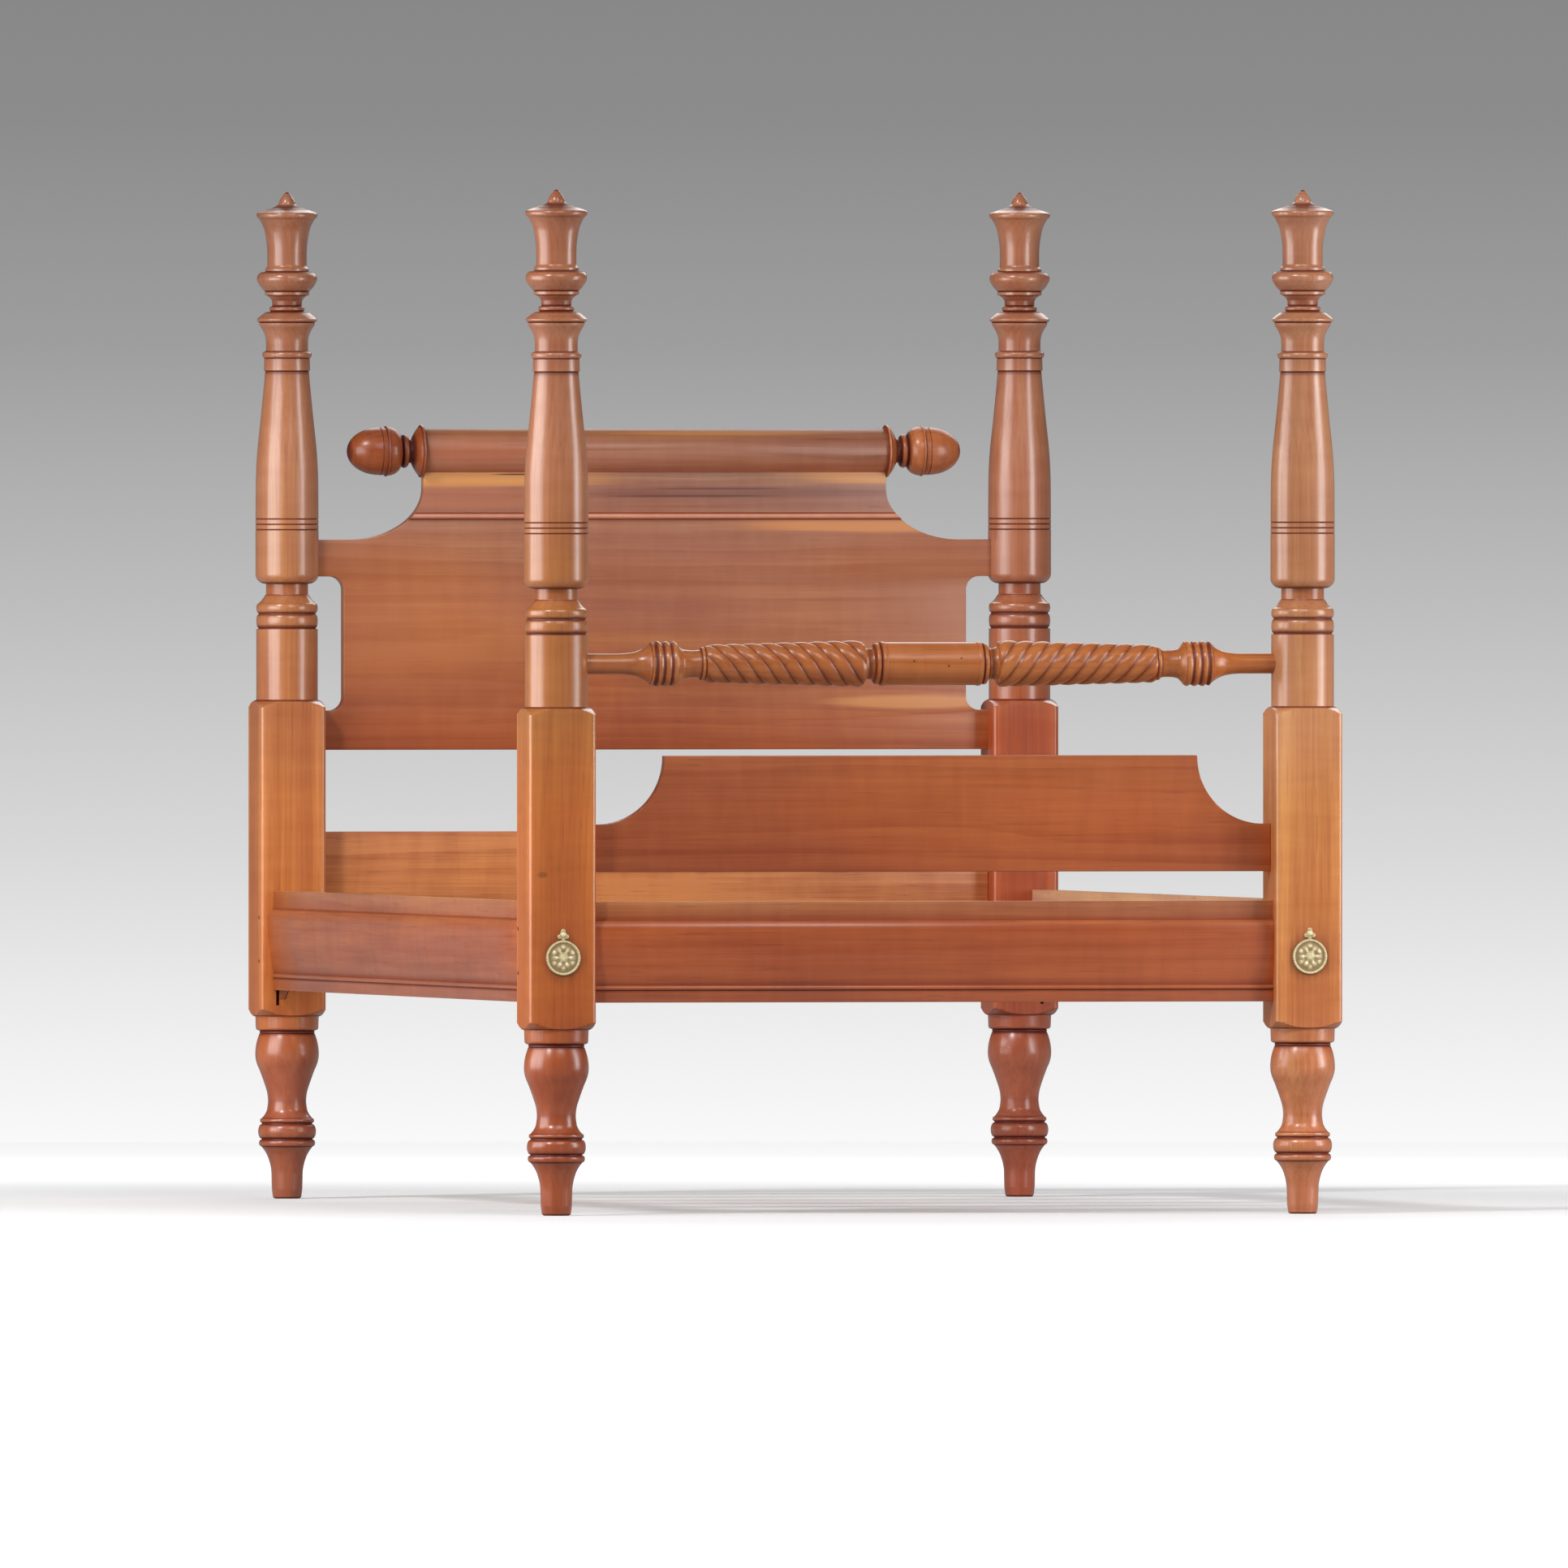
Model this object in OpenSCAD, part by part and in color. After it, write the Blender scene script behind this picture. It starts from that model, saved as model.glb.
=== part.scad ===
// Low-post bed in turned cherry: two framed ends, two hooked side rails with ledgers, loose slats.
// X runs across the bed, Y from the foot end to the head end, Z up. The origin is on the floor,
// under the middle of the bed. Sizes are in millimetres.

/* [Overall] */
// Outside of the posts, measured across the bed
bed_width = 1218; // [1000:1:1700]
// Clear length of a side rail, from post to post
rail_length = 1914; // [1800:1:2050]
// Side of the square post stock
post_size = 100; // [96:1:104]
// Radius worn on the long corners of the square blocks
post_corner = 7; // [2:0.5:12]

/* [Low rails] */
// Height of the rails' lower edge above the floor
rail_bottom = 312; // [308:1:330]
// Thickness of the side rails and the foot rail through the moulding
rail_thickness = 30; // [28:0.5:34]
// Distance of a side rail's middle plane outside the post axis
rail_offset = 24; // [20:0.5:30]
// Gap between each side rail and the posts it hangs on
rail_gap = 0.3; // [0.2:0.1:1]

/* [Head end] */
// Lower edge of the plain stretcher
stretcher_bottom = 406; // [380:1:420]
// Upper edge of the plain stretcher
stretcher_top = 548; // [500:1:600]
// Lower edge of the headboard
headboard_bottom = 670; // [640:1:690]
// Thickness of the headboard
headboard_thickness = 22; // [18:1:26]
// Radius of the crest roll on top of the headboard
crest_radius = 33.5; // [30:0.5:38]
// Half the length of the crest roll, without its acorns
crest_half = 353; // [330:1:360]

/* [Foot end] */
// Lower edge of the footboard
footboard_bottom = 503; // [490:1:520]
// Upper edge of the footboard
footboard_top = 673.5; // [650:0.5:700]
// Radius of the scoop at each upper corner of the footboard
footboard_scoop = 98; // [80:1:100]
// Height of the blanket rail's axis
blanket_height = 808; // [790:1:820]

/* [Slats] */
// Width of a slat
slat_width = 80; // [60:1:100]
// Thickness of a slat
slat_thickness = 19; // [15:1:25]
// Distance from slat to slat
slat_pitch = 380; // [300:1:400]
// Side of the square ledger strips that carry the slats
ledger_size = 25; // [20:1:28]

/* [Rail hooks] */
// Thickness of a steel hook plate
plate_thickness = 3; // [3:0.5:4]
// Height of the lower cross pin in a post
pin_height = 355; // [350:1:360]
// Distance between the two cross pins in a post
pin_spacing = 65; // [60:1:70]
// Radius of a cross pin
pin_radius = 3; // [2.5:0.5:3.5]

/* [Bolt covers] */
// Radius of a brass bolt cover
cover_radius = 26; // [24:0.5:28]
// Height of a cover's middle above the floor
cover_height = 378; // [370:1:390]
// Distance from a cover's middle up to its nail
cover_drop = 34; // [32:0.5:38]

/* [Hidden] */
$fn = 64;

LEFT = -1;
RIGHT = 1;
FOOT = -1;
HEAD = 1;

half_post = post_size / 2;
post_x = bed_width / 2 - half_post;
post_inner = post_x - half_post;
end_spacing = rail_length + post_size;

// Ways that one cut runs from its first radius to its last
LINE = "line";    // straight
SWELL = "swell";  // bowed out by a given amount, or hollow where the bow is negative
OGEE = "ogee";    // S-curve, along the axis at both ends
BEAD = "bead";    // half-round crest that comes back to its first radius
EARLY = "early";  // leaves square to the axis and arrives along it
LATE = "late";    // leaves along the axis and arrives square to it
curve_steps = 5;
bead_steps = 6;

// Each cut is [kind, length, last radius or crest, bow]. A post is turned from these, floor to tip.
foot_cuts = [
    [EARLY, 4, 21.5],       // rounded edge on the floor
    [LINE, 10, 22.8],
    [LINE, 20, 23.4],       // toe
    [SWELL, 26, 28, -1.2],
    [SWELL, 18, 38.5, -1.2],
    [BEAD, 10, 42],         // lower ring
    [LINE, 1.5, 38],
    [BEAD, 21.5, 43.3],     // fat ring
    [LINE, 2, 37.5],
    [BEAD, 7, 40.5],        // thin upper ring
    [LINE, 1, 37],
    [SWELL, 15, 29.6, -1.6],
    [SWELL, 8, 28.6, -0.1],
    [SWELL, 19, 31, -0.7],  // ankle
    [SWELL, 31, 42, -0.3],
    [SWELL, 22, 47.6, 1.4], // vase
    [SWELL, 30, 41.5, 1.5],
    [LINE, 1, 40],
    [LINE, 0.5, 41.2],
    [LINE, 2.5, 41.2],      // fillet between two fine grooves
    [LINE, 0.5, 40],
    [LINE, 0.5, 41],
    [EARLY, 4, 46.8],
    [LINE, 16.5, 47.4]      // collar under the block
];
// The square block keeps its four faces; only its shoulders are touched by the turning.
block_cuts = [
    [SWELL, 12, 69, 1],
    [LINE, 449.5, 69],
    [SWELL, 12, 46, 1]
];
scored_line = [
    [LINE, 1, 46],
    [LINE, 1, 47.1],
    [LINE, 6, 47.1]
];
shaft_cuts = concat([
    [LINE, 105.5, 46],      // plain cylinder over the block
    [LINE, 0, 43],
    [LINE, 1.8, 43],
    [BEAD, 20, 46],         // lower of the two big beads
    [LINE, 2.2, 42.5],
    [BEAD, 14.5, 46],       // upper of the two big beads
    [SWELL, 12, 33, -0.8],
    [EARLY, 2.5, 31.4],
    [LINE, 14.5, 31.4],     // neck
    [EARLY, 14, 47.2],      // rounded start of the drum
    [LINE, 66, 47.2]
], scored_line, scored_line, scored_line, [
    [LINE, 43, 46.8],
    [SWELL, 75, 42.1, 1],   // bottle taper
    [SWELL, 95, 32.8, -0.3],
    [LINE, 1, 31.8],
    [LINE, 0.6, 34.6],
    [LINE, 17.9, 34]
]);
top_cuts = [
    [LINE, 0.5, 33.2],
    [BEAD, 10, 37],         // thin ring
    [LINE, 0.8, 31.6],
    [SWELL, 12.2, 31.4, -0.2],
    [SWELL, 26, 41, -2.4],  // hollow under the saucer
    [LINE, 3.6, 41.8],
    [LINE, 0.8, 40.6],
    [LINE, 0.8, 42.6],
    [EARLY, 4, 45],         // saucer
    [SWELL, 9.8, 33, 0.6],
    [LINE, 1, 30.5],
    [LINE, 1, 24],
    [BEAD, 7, 26.3],
    [LINE, 1.5, 21.6],
    [LINE, 1, 22.3],
    [SWELL, 6, 22.6, -0.2], // waist
    [SWELL, 8.5, 30.5, -1.2],
    [LINE, 0.3, 33],
    [LINE, 4.4, 33.3],
    [LINE, 1, 31.8],
    [LINE, 0.8, 34],
    [SWELL, 11, 42.6, 0.8], // ball ring
    [SWELL, 7, 45, 0.6],
    [LATE, 10.5, 35],
    [LINE, 0.8, 31.8],
    [LINE, 0.2, 32.8],
    [LINE, 3.5, 32.6],
    [SWELL, 6, 29.4, -0.8],
    [LINE, 16.5, 29.4],
    [SWELL, 28, 32.4, -0.7],
    [SWELL, 24.5, 42.2, -1.6], // flaring cup
    [LINE, 0.5, 43],
    [BEAD, 8.5, 45.5],      // rim
    [SWELL, 7.5, 21, 0.5],  // lid
    [SWELL, 5, 12.5, -0.8],
    [SWELL, 13, 6, 1.2],    // pointed button
    [SWELL, 5, 1, 0.6]
];
post_toe_radius = 16.5;
post_cuts = concat(foot_cuts, block_cuts, shaft_cuts, top_cuts);

// The moulded rails are planed from the same cuts, from the lower edge up; the radius is the depth.
rail_base_depth = 22;
rail_cuts = [
    [LINE, 17, 22],         // flat base strip
    [LINE, 0, 20.5],
    [LINE, 1, 20.5],
    [BEAD, 7, 24],          // thin bead
    [LINE, 1.5, 20.5],
    [SWELL, 78, rail_thickness, 2.5], // broad cushion
    [LATE, 17, 20],
    [LINE, 1.5, 18.8],
    [LINE, 25, 20]          // fillet along the upper edge
];
rail_top = rail_bottom + cuts_length(rail_cuts);

// The blanket rail is turned from its middle out to each end, with a spiral reeding between.
reed_start = 101;
reed_end = 337;
reed_fat = 34.5;
reed_thin = 28;
reed_depth = 4;
reed_core_fat = reed_fat - reed_depth;
reed_core_thin = reed_thin - reed_depth;
reeds = 5;
reed_points = 4;
reed_lead = 125;
reed_slices = 32;
reed_twist = 360 * (reed_end - reed_start) / reed_lead;
reed_fullness = 0.6;        // under 1, the reeds are fat and the grooves between them narrow
blanket_end_radius = 15;
blanket_drum_radius = 31.5;
blanket_drum_cuts = [
    [LINE, 68, blanket_drum_radius],
    [BEAD, 7, 32.4],
    [LINE, 2, 28.5],
    [BEAD, 7, 30.5],
    [LINE, 2, 24.5]
];
blanket_middle_cuts = concat(blanket_drum_cuts, [
    [SWELL, reed_start - cuts_length(blanket_drum_cuts), 26.5, -3]
]);
blanket_outer_cuts = [
    [LINE, 1, 22.5],
    [BEAD, 6, 24.5],
    [LINE, 0, 21],
    [SWELL, 27, 21.7, -1.5],
    [SWELL, 9.5, 31.2, -0.8],
    [OGEE, 4, 33.3],        // four soft rings
    [OGEE, 5.8, 31],
    [OGEE, 5.8, 33.4],
    [OGEE, 6.2, 31],
    [OGEE, 6.2, 33.4],
    [OGEE, 5, 30.8],
    [OGEE, 4.5, 32.4],
    [SWELL, 4, 28, -0.3],
    [SWELL, 26, 16.6, -2.2],
    [SWELL, 20, blanket_end_radius, -0.4]
];
socket_clearance = 0.08;
socket_depth = 38;
socket_post_radius = 46;    // radius of the post around the socket
socket_bottom = post_x - socket_post_radius + socket_depth;
socket_end_gap = 0.5;
blanket_tip = socket_bottom - socket_end_gap;

// Acorns are turned outward from the crest roll's ends, dowel first.
acorn_dowel_radius = 8;
acorn_dowel_length = 28;
acorn_cuts = [
    [LINE, acorn_dowel_length, acorn_dowel_radius],
    [LINE, 0, 38.3],
    [BEAD, 4, 39.4],        // thin flange against the roll
    [LINE, 0.5, 37],
    [SWELL, 12, 17.6, 2.2],
    [LINE, 5.5, 17.4],      // neck
    [LINE, 0.5, 20],
    [BEAD, 10, 25],         // ring
    [LINE, 1, 20.5],
    [EARLY, 20.5, 36.6],    // cup
    [BEAD, 3, 37.8],
    [LINE, 0.8, 35.6],
    [LINE, 6.5, 35.8],
    [LINE, 0.8, 34.8],
    [LINE, 0.8, 35.6],
    [LATE, 48.5, 1]         // nut
];

rebate = 14;                // thickness of the tenons on the boards
tenon_length = 32;
tenon_shoulder = 9;
headboard_housing = 30;
arm_bottom_top = 729;       // upper edge of the headboard's lower arms
arm_top_bottom = 929;       // lower edge of its upper arms
arm_top = 984;              // upper edge of its upper arms
board_half = 475;           // half the board's width between the arms
board_corner = 20;
scoop_centre = [465, 1061];
scoop_size = [112.3, 77];
crest_height = 1116;
crest_groove = 8;
crest_seat = crest_height - crest_radius + crest_groove;
head_bead_height = 1019;
head_bead_width = 11;
head_bead_depth = 6;
head_bead_fillet = 1.5;
arc_steps = 12;

stretcher_thickness = 26;
footboard_thickness = 22;
footboard_half = 399;
footboard_arm_top = 573;
footboard_scoop_drop = 2.5; // middle of the scoop's arc under the board's upper edge
foot_rail_recess = 14;      // moulding's distance behind the posts' front faces

ledger_drop = 6;            // ledger's height above the rail's lower edge
ledger_top = rail_bottom + ledger_drop + ledger_size;
ledger_setback = 34;        // distance from the rail's end to the ledger's
ledger_screw_count = 7;
ledger_screw_length = 38;
screw_radius = 2.2;
screw_head_radius = 4.6;
screw_head_depth = 3;

slat_count = 5;
slat_gap = 0.3;
slat_end_gap = 3;
slat_bottom = ledger_top + slat_gap;
rail_inner_x = post_x + rail_offset - rail_thickness / 2;
slat_half = rail_inner_x - slat_end_gap;

slot_width = 5;
slot_bottom = 289;
slot_top = 458;
slot_depth = 40;
pin_depth = 14;             // distance of the pins behind the post's face
pin_inner = 12;             // pin's inner end, from the post axis
hook_gap = 0.3;
plate_bed = 60;             // length of plate buried in the rail
plate_bottom = 330;
plate_top = 434;
prong_reach = pin_depth + 12;
prong_rise = 13;            // steel above the middle of a pin
prong_drop = 12;            // nose's depth below the middle of a pin
hook_screw_rows = [350, 408];
hook_screw_inset = [18, 42];
hook_screw_length = 21;

patch_depth = 8;
patch_crack = 0.9;
patch_proud = 0.05;
patch_top = 434;
patch_bend = 321;
patch_bottom = 298;
patch_reach = [-4.9, 3, 12]; // slanting side, at its top, bend and bottom

cover_gap = 0.3;
cover_plate = 1.4;
cover_crest = 4.2;
cover_face_cuts = [         // outward from the middle; the radius is the height
    [LATE, 5, 3.2],
    [SWELL, 4, 1.8],
    [SWELL, 9, 1.8, 1.2],
    [LINE, 4, cover_plate]
];
cover_cuts = concat(cover_face_cuts, [
    [BEAD, cover_radius - cuts_length(cover_face_cuts), 3.2]
]);
cover_proud = cover_gap + cover_crest;
nail_radius = 1.5;
nail_clearance = 0.08;
nail_length = 16;
nail_head_radius = 3.4;
nail_head_height = 1.9;
tab_neck = 6;
tab_radius = 5;
tab_lobe_radius = 3.4;
tab_lobes = [[5.2, -3], [-5.2, -3], [0, 5]];
bolt_bore_radius = 6.5;
bolt_sink_radius = 14;
bolt_sink_depth = 20;

// The covers stand proud of the foot posts, so both ends move back by half of that.
foot_y = cover_proud / 2 - end_spacing / 2;
head_y = foot_y + end_spacing;
function end_y(end) = end == FOOT ? foot_y : head_y;

cherry = [0.72, 0.40, 0.22];
cherry_dark = [0.64, 0.31, 0.18];
cherry_raw = [0.80, 0.52, 0.40];
slat_wood = [0.55, 0.38, 0.25];
steel = [0.66, 0.67, 0.68];
brass = [0.80, 0.68, 0.36];

overshoot = 1;              // cutters run this far past the faces that they open

// ---- cuts and outlines ----

function cut_steps(kind) = kind == LINE ? 1 : kind == BEAD ? bead_steps : curve_steps;

// Radius and share of the length at the share t of one cut
function cut_point(kind, t, r0, r1, bow) =
    kind == LINE ? [r0 + (r1 - r0) * t, t] :
    kind == SWELL ? [r0 + (r1 - r0) * t + 4 * bow * t * (1 - t), t] :
    kind == OGEE ? [r0 + (r1 - r0) * (1 - cos(180 * t)) / 2, t] :
    kind == BEAD ? [r0 + (r1 - r0) * sin(180 * t), (1 - cos(180 * t)) / 2] :
    kind == EARLY ? [r0 + (r1 - r0) * sin(90 * t), 1 - cos(90 * t)] :
    [r0 + (r1 - r0) * (1 - cos(90 * t)), sin(90 * t)];

function cut_bow(cut) = len(cut) > 3 ? cut[3] : 0;

function cuts_length(cuts, i = 0) = i == len(cuts) ? 0 : cuts[i][1] + cuts_length(cuts, i + 1);

// The cuts as a list of [radius, distance along the axis]
function cuts_path(cuts, r, z = 0, i = 0) =
    i == len(cuts) ? [[r, z]] :
    let (cut = cuts[i], steps = cut_steps(cut[0]))
    concat(
        [for (k = [0 : steps - 1])
            let (p = cut_point(cut[0], k / steps, r, cut[2], cut_bow(cut)))
            [p[0], z + cut[1] * p[1]]],
        cuts_path(cuts, cut[0] == BEAD ? r : cut[2], z + cut[1], i + 1)
    );

// Points on an arc of an ellipse
function arc(centre, size, from, to) =
    [for (k = [0 : arc_steps])
        let (a = from + (to - from) * k / arc_steps)
        [centre[0] + size[0] * cos(a), centre[1] + size[1] * sin(a)]];

function mirrored(points) = [for (k = [len(points) - 1 : -1 : 0]) [-points[k][0], points[k][1]]];

// ---- placing ----

// Children are drawn with +X outward and +Y towards the middle of the bed.
module at_post(side, end) {
    translate([side * post_x, end_y(end), 0])
        mirror([side == LEFT ? 1 : 0, 0, 0])
            mirror([0, end == HEAD ? 1 : 0, 0])
                children();
}

// A flat outline in X and Z, given a thickness along Y about the plane y
module upright(y, thickness) {
    translate([0, y + thickness / 2, 0])
        rotate([90, 0, 0])
            linear_extrude(height = thickness)
                children();
}

// A bar that runs across the bed, from post to post and beyond
module cross_bar(y, thickness, z0, z1, half) {
    translate([-half, y - thickness / 2, z0])
        cube([2 * half, thickness, z1 - z0]);
}

// Points its children's +Z along +X or -X
module along_x(side) {
    rotate([0, 90 * side, 0]) children();
}

module turned(cuts, first_radius) {
    path = cuts_path(cuts, first_radius);
    last = path[len(path) - 1];
    rotate_extrude()
        polygon(concat([[0, path[0][1]]], path, [[0, last[1]]]));
}

// ---- tenons, which the posts are mortised for ----

foot_rail_y = foot_y - half_post + foot_rail_recess + rail_thickness;
foot_tenon_y = foot_rail_y - rail_base_depth / 2;

module foot_rail_tenons() {
    cross_bar(foot_tenon_y, rebate, rail_bottom + tenon_shoulder, rail_top - tenon_shoulder,
        post_inner + tenon_length);
}

module footboard_tenons() {
    cross_bar(foot_y, rebate, footboard_bottom + tenon_shoulder, footboard_arm_top - tenon_shoulder,
        post_inner + tenon_length);
}

module stretcher_tenons() {
    cross_bar(head_y, rebate, stretcher_bottom + tenon_shoulder, stretcher_top - tenon_shoulder,
        post_inner + tenon_length);
}

module headboard_housings() {
    housing_half = post_inner + headboard_housing;
    cross_bar(head_y, headboard_thickness, headboard_bottom, arm_bottom_top, housing_half);
    cross_bar(head_y, headboard_thickness, arm_top_bottom, arm_top, housing_half);
}

// ---- posts ----

module post_blank() {
    intersection() {
        turned(post_cuts, post_toe_radius);
        linear_extrude(height = cuts_length(post_cuts) + overshoot)
            rounded_square(half_post, post_corner);
    }
}

module rounded_square(half, corner) {
    inner = half - corner;
    square([2 * inner, 2 * half], center = true);
    square([2 * half, 2 * inner], center = true);
    for (x = [-inner, inner], y = [-inner, inner])
        translate([x, y]) circle(r = corner);
}

module hook_slot() {
    translate([rail_offset - slot_width / 2, half_post - slot_depth, slot_bottom])
        cube([slot_width, slot_depth + overshoot, slot_top - slot_bottom]);
}

module hook_pin_bars() {
    for (row = [0, 1])
        translate([pin_inner, half_post - pin_depth, pin_height + row * pin_spacing])
            rotate([0, 90, 0])
                cylinder(r = pin_radius, h = half_post - pin_inner);
}

module bolt_hole() {
    translate([0, -half_post - overshoot, cover_height])
        rotate([-90, 0, 0]) {
            cylinder(r = bolt_bore_radius, h = post_size + 2 * overshoot);
            cylinder(r = bolt_sink_radius, h = bolt_sink_depth + overshoot);
        }
}

module nail_hole() {
    translate([0, -half_post - overshoot, cover_height + cover_drop])
        rotate([-90, 0, 0])
            cylinder(r = nail_radius, h = nail_length + overshoot);
}

module blanket_socket() {
    translate([-half_post, 0, blanket_height])
        rotate([0, 90, 0])
            cylinder(r = blanket_end_radius + socket_clearance, h = socket_bottom - post_inner);
}

module foot_post(side) {
    color(cherry)
        difference() {
            at_post(side, FOOT)
                difference() {
                    post_blank();
                    hook_slot();
                    hook_pin_bars();
                    bolt_hole();
                    nail_hole();
                    blanket_socket();
                }
            foot_rail_tenons();
            footboard_tenons();
        }
}

module head_post(side) {
    color(cherry)
        difference() {
            at_post(side, HEAD)
                difference() {
                    post_blank();
                    hook_slot();
                    hook_pin_bars();
                    if (side == LEFT) patch_solid(0);
                }
            stretcher_tenons();
            headboard_housings();
        }
}

// A wedge let into the bed side of one head post beside its hook slot
module patch_solid(crack) {
    edge = rail_offset - slot_width / 2;
    translate([0, half_post + patch_proud, 0])
        rotate([90, 0, 0])
            linear_extrude(height = patch_depth)
                polygon([
                    [edge, patch_top],
                    [patch_reach[0] + crack, patch_top],
                    [patch_reach[1] + crack, patch_bend],
                    [patch_reach[2] + crack, patch_bottom],
                    [edge, patch_bottom]
                ]);
}

module post_foot_left() { foot_post(LEFT); }
module post_foot_right() { foot_post(RIGHT); }
module post_head_left() { head_post(LEFT); }
module post_head_right() { head_post(RIGHT); }

module post_patch() {
    color(cherry_dark)
        at_post(LEFT, HEAD) patch_solid(patch_crack);
}

// ---- head end ----

module scoop_outline() {
    half = concat(
        arc(scoop_centre, scoop_size, 180, 270),
        [[post_x, arm_top], [post_x, crest_height], [scoop_centre[0] - scoop_size[0], crest_height]]
    );
    polygon(half);
}

// Right half of the headboard, from the bottom middle to the top middle
function headboard_half() =
    let (tip = post_inner + headboard_housing, notch = board_half + board_corner)
    concat(
        [[tip, headboard_bottom], [tip, arm_bottom_top]],
        arc([notch, arm_bottom_top + board_corner], [board_corner, board_corner], 270, 180),
        arc([notch, arm_top_bottom - board_corner], [board_corner, board_corner], 180, 90),
        [[tip, arm_top_bottom], [tip, arm_top]],
        arc(scoop_centre, scoop_size, 270, 180),
        [[scoop_centre[0] - scoop_size[0], crest_seat]]
    );

module headboard_panel() {
    color(cherry_dark)
        upright(head_y, headboard_thickness)
            polygon(concat(headboard_half(), mirrored(headboard_half())));
}

module headboard_bead() {
    bead_cuts = [
        [LINE, head_bead_fillet, head_bead_fillet],
        [BEAD, head_bead_width - 2 * head_bead_fillet, head_bead_depth],
        [LINE, head_bead_fillet, head_bead_fillet]
    ];
    path = cuts_path(bead_cuts, head_bead_fillet);
    face = head_y - headboard_thickness / 2;
    color(cherry_dark)
        difference() {
            translate([-post_inner, face, head_bead_height - head_bead_width / 2])
                rotate([90, 0, 90])
                    linear_extrude(height = 2 * post_inner)
                        polygon(concat([[0, 0]], [for (p = path) [-p[0], p[1]]], [[0, head_bead_width]]));
            upright(head_y, 4 * headboard_thickness) {
                scoop_outline();
                mirror([1, 0]) scoop_outline();
            }
        }
}

module crest_roll() {
    color(cherry_dark)
        difference() {
            translate([-crest_half, head_y, crest_height])
                rotate([0, 90, 0])
                    cylinder(r = crest_radius, h = 2 * crest_half);
            cross_bar(head_y, headboard_thickness, 0, crest_seat, post_x);
            for (side = [LEFT, RIGHT])
                translate([side * (crest_half - acorn_dowel_length), head_y, crest_height])
                    along_x(side)
                        cylinder(r = acorn_dowel_radius, h = acorn_dowel_length + overshoot);
        }
}

module acorn(side) {
    color(cherry_dark)
        translate([side * (crest_half - acorn_dowel_length), head_y, crest_height])
            along_x(side)
                turned(acorn_cuts, acorn_dowel_radius);
}

module acorn_left() { acorn(LEFT); }
module acorn_right() { acorn(RIGHT); }

module head_stretcher() {
    color(cherry) {
        cross_bar(head_y, stretcher_thickness, stretcher_bottom, stretcher_top, post_inner);
        stretcher_tenons();
    }
}

// ---- foot end ----

function footboard_half_outline() =
    let (centre = [footboard_half + footboard_scoop, footboard_top - footboard_scoop_drop])
    concat(
        [[post_inner, footboard_bottom], [post_inner, footboard_arm_top]],
        arc(centre, [footboard_scoop, footboard_scoop], 270, 180),
        [[footboard_half, footboard_top]]
    );

module footboard_panel() {
    color(cherry_dark) {
        upright(foot_y, footboard_thickness)
            polygon(concat(footboard_half_outline(), mirrored(footboard_half_outline())));
        footboard_tenons();
    }
}

// Section of the moulded rails: the flat back stands on Y = 0 and the moulding faces +X
module rail_section() {
    path = cuts_path(rail_cuts, rail_base_depth);
    polygon(concat([[0, 0]], path, [[0, cuts_length(rail_cuts)]]));
}

module foot_rail() {
    color(cherry_dark) {
        translate([-post_inner, foot_rail_y, rail_bottom])
            rotate([90, 0, 90])
                linear_extrude(height = 2 * post_inner)
                    mirror([1, 0]) rail_section();
        foot_rail_tenons();
    }
}

function reed_radius(a) = reed_core_fat + reed_depth * pow(abs(cos(reeds * a / 2)), reed_fullness);

module reeding(side) {
    steps = reeds * reed_points;
    along_x(side)
        translate([0, 0, reed_start])
            linear_extrude(
                height = reed_end - reed_start, twist = side * reed_twist,
                slices = reed_slices, scale = reed_thin / reed_fat, $fn = 0
            )
                polygon([for (k = [0 : steps - 1])
                    let (a = 360 * k / steps)
                    [reed_radius(a) * cos(a), reed_radius(a) * sin(a)]]);
}

module blanket_rail() {
    core_cuts = [[LINE, reed_end - reed_start, reed_core_thin - overshoot]];
    tip_cuts = [[LINE, blanket_tip - reed_end - cuts_length(blanket_outer_cuts), blanket_end_radius]];
    half_cuts = concat(blanket_middle_cuts, core_cuts, blanket_outer_cuts, tip_cuts);
    half = cuts_path(half_cuts, blanket_drum_radius);
    last = half[len(half) - 1];
    path = concat([for (k = [len(half) - 1 : -1 : 1]) [half[k][0], -half[k][1]]], [half[0]],
        [for (k = [1 : len(half) - 1]) half[k]]);
    color(cherry)
        translate([0, foot_y, blanket_height]) {
            along_x(RIGHT)
                rotate_extrude()
                    polygon(concat([[0, -last[1]]], path, [[0, last[1]]]));
            for (side = [LEFT, RIGHT]) reeding(side);
        }
}

// ---- side rails ----

rail_start = foot_y + half_post + rail_gap;
rail_end = head_y - half_post - rail_gap;

module at_rail(side) {
    translate([side * rail_inner_x, rail_start, rail_bottom])
        mirror([side == LEFT ? 1 : 0, 0, 0])
            children();
}

// Plate outline in Y and Z as seen from the outside, measured from the post's face at the foot end
module plate_outline() {
    translate([rail_gap, plate_bottom])
        square([plate_bed, plate_top - plate_bottom]);
    for (row = [0, 1]) translate([0, pin_height + row * pin_spacing])
        difference() {
            union() {
                translate([-prong_reach, 0]) square([prong_reach + rail_gap, prong_rise]);
                translate([-prong_reach, -prong_drop])
                    square([prong_reach - pin_depth - pin_radius - hook_gap, prong_drop]);
            }
            translate([-pin_depth, 0]) circle(r = pin_radius + hook_gap);
        }
}

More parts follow.
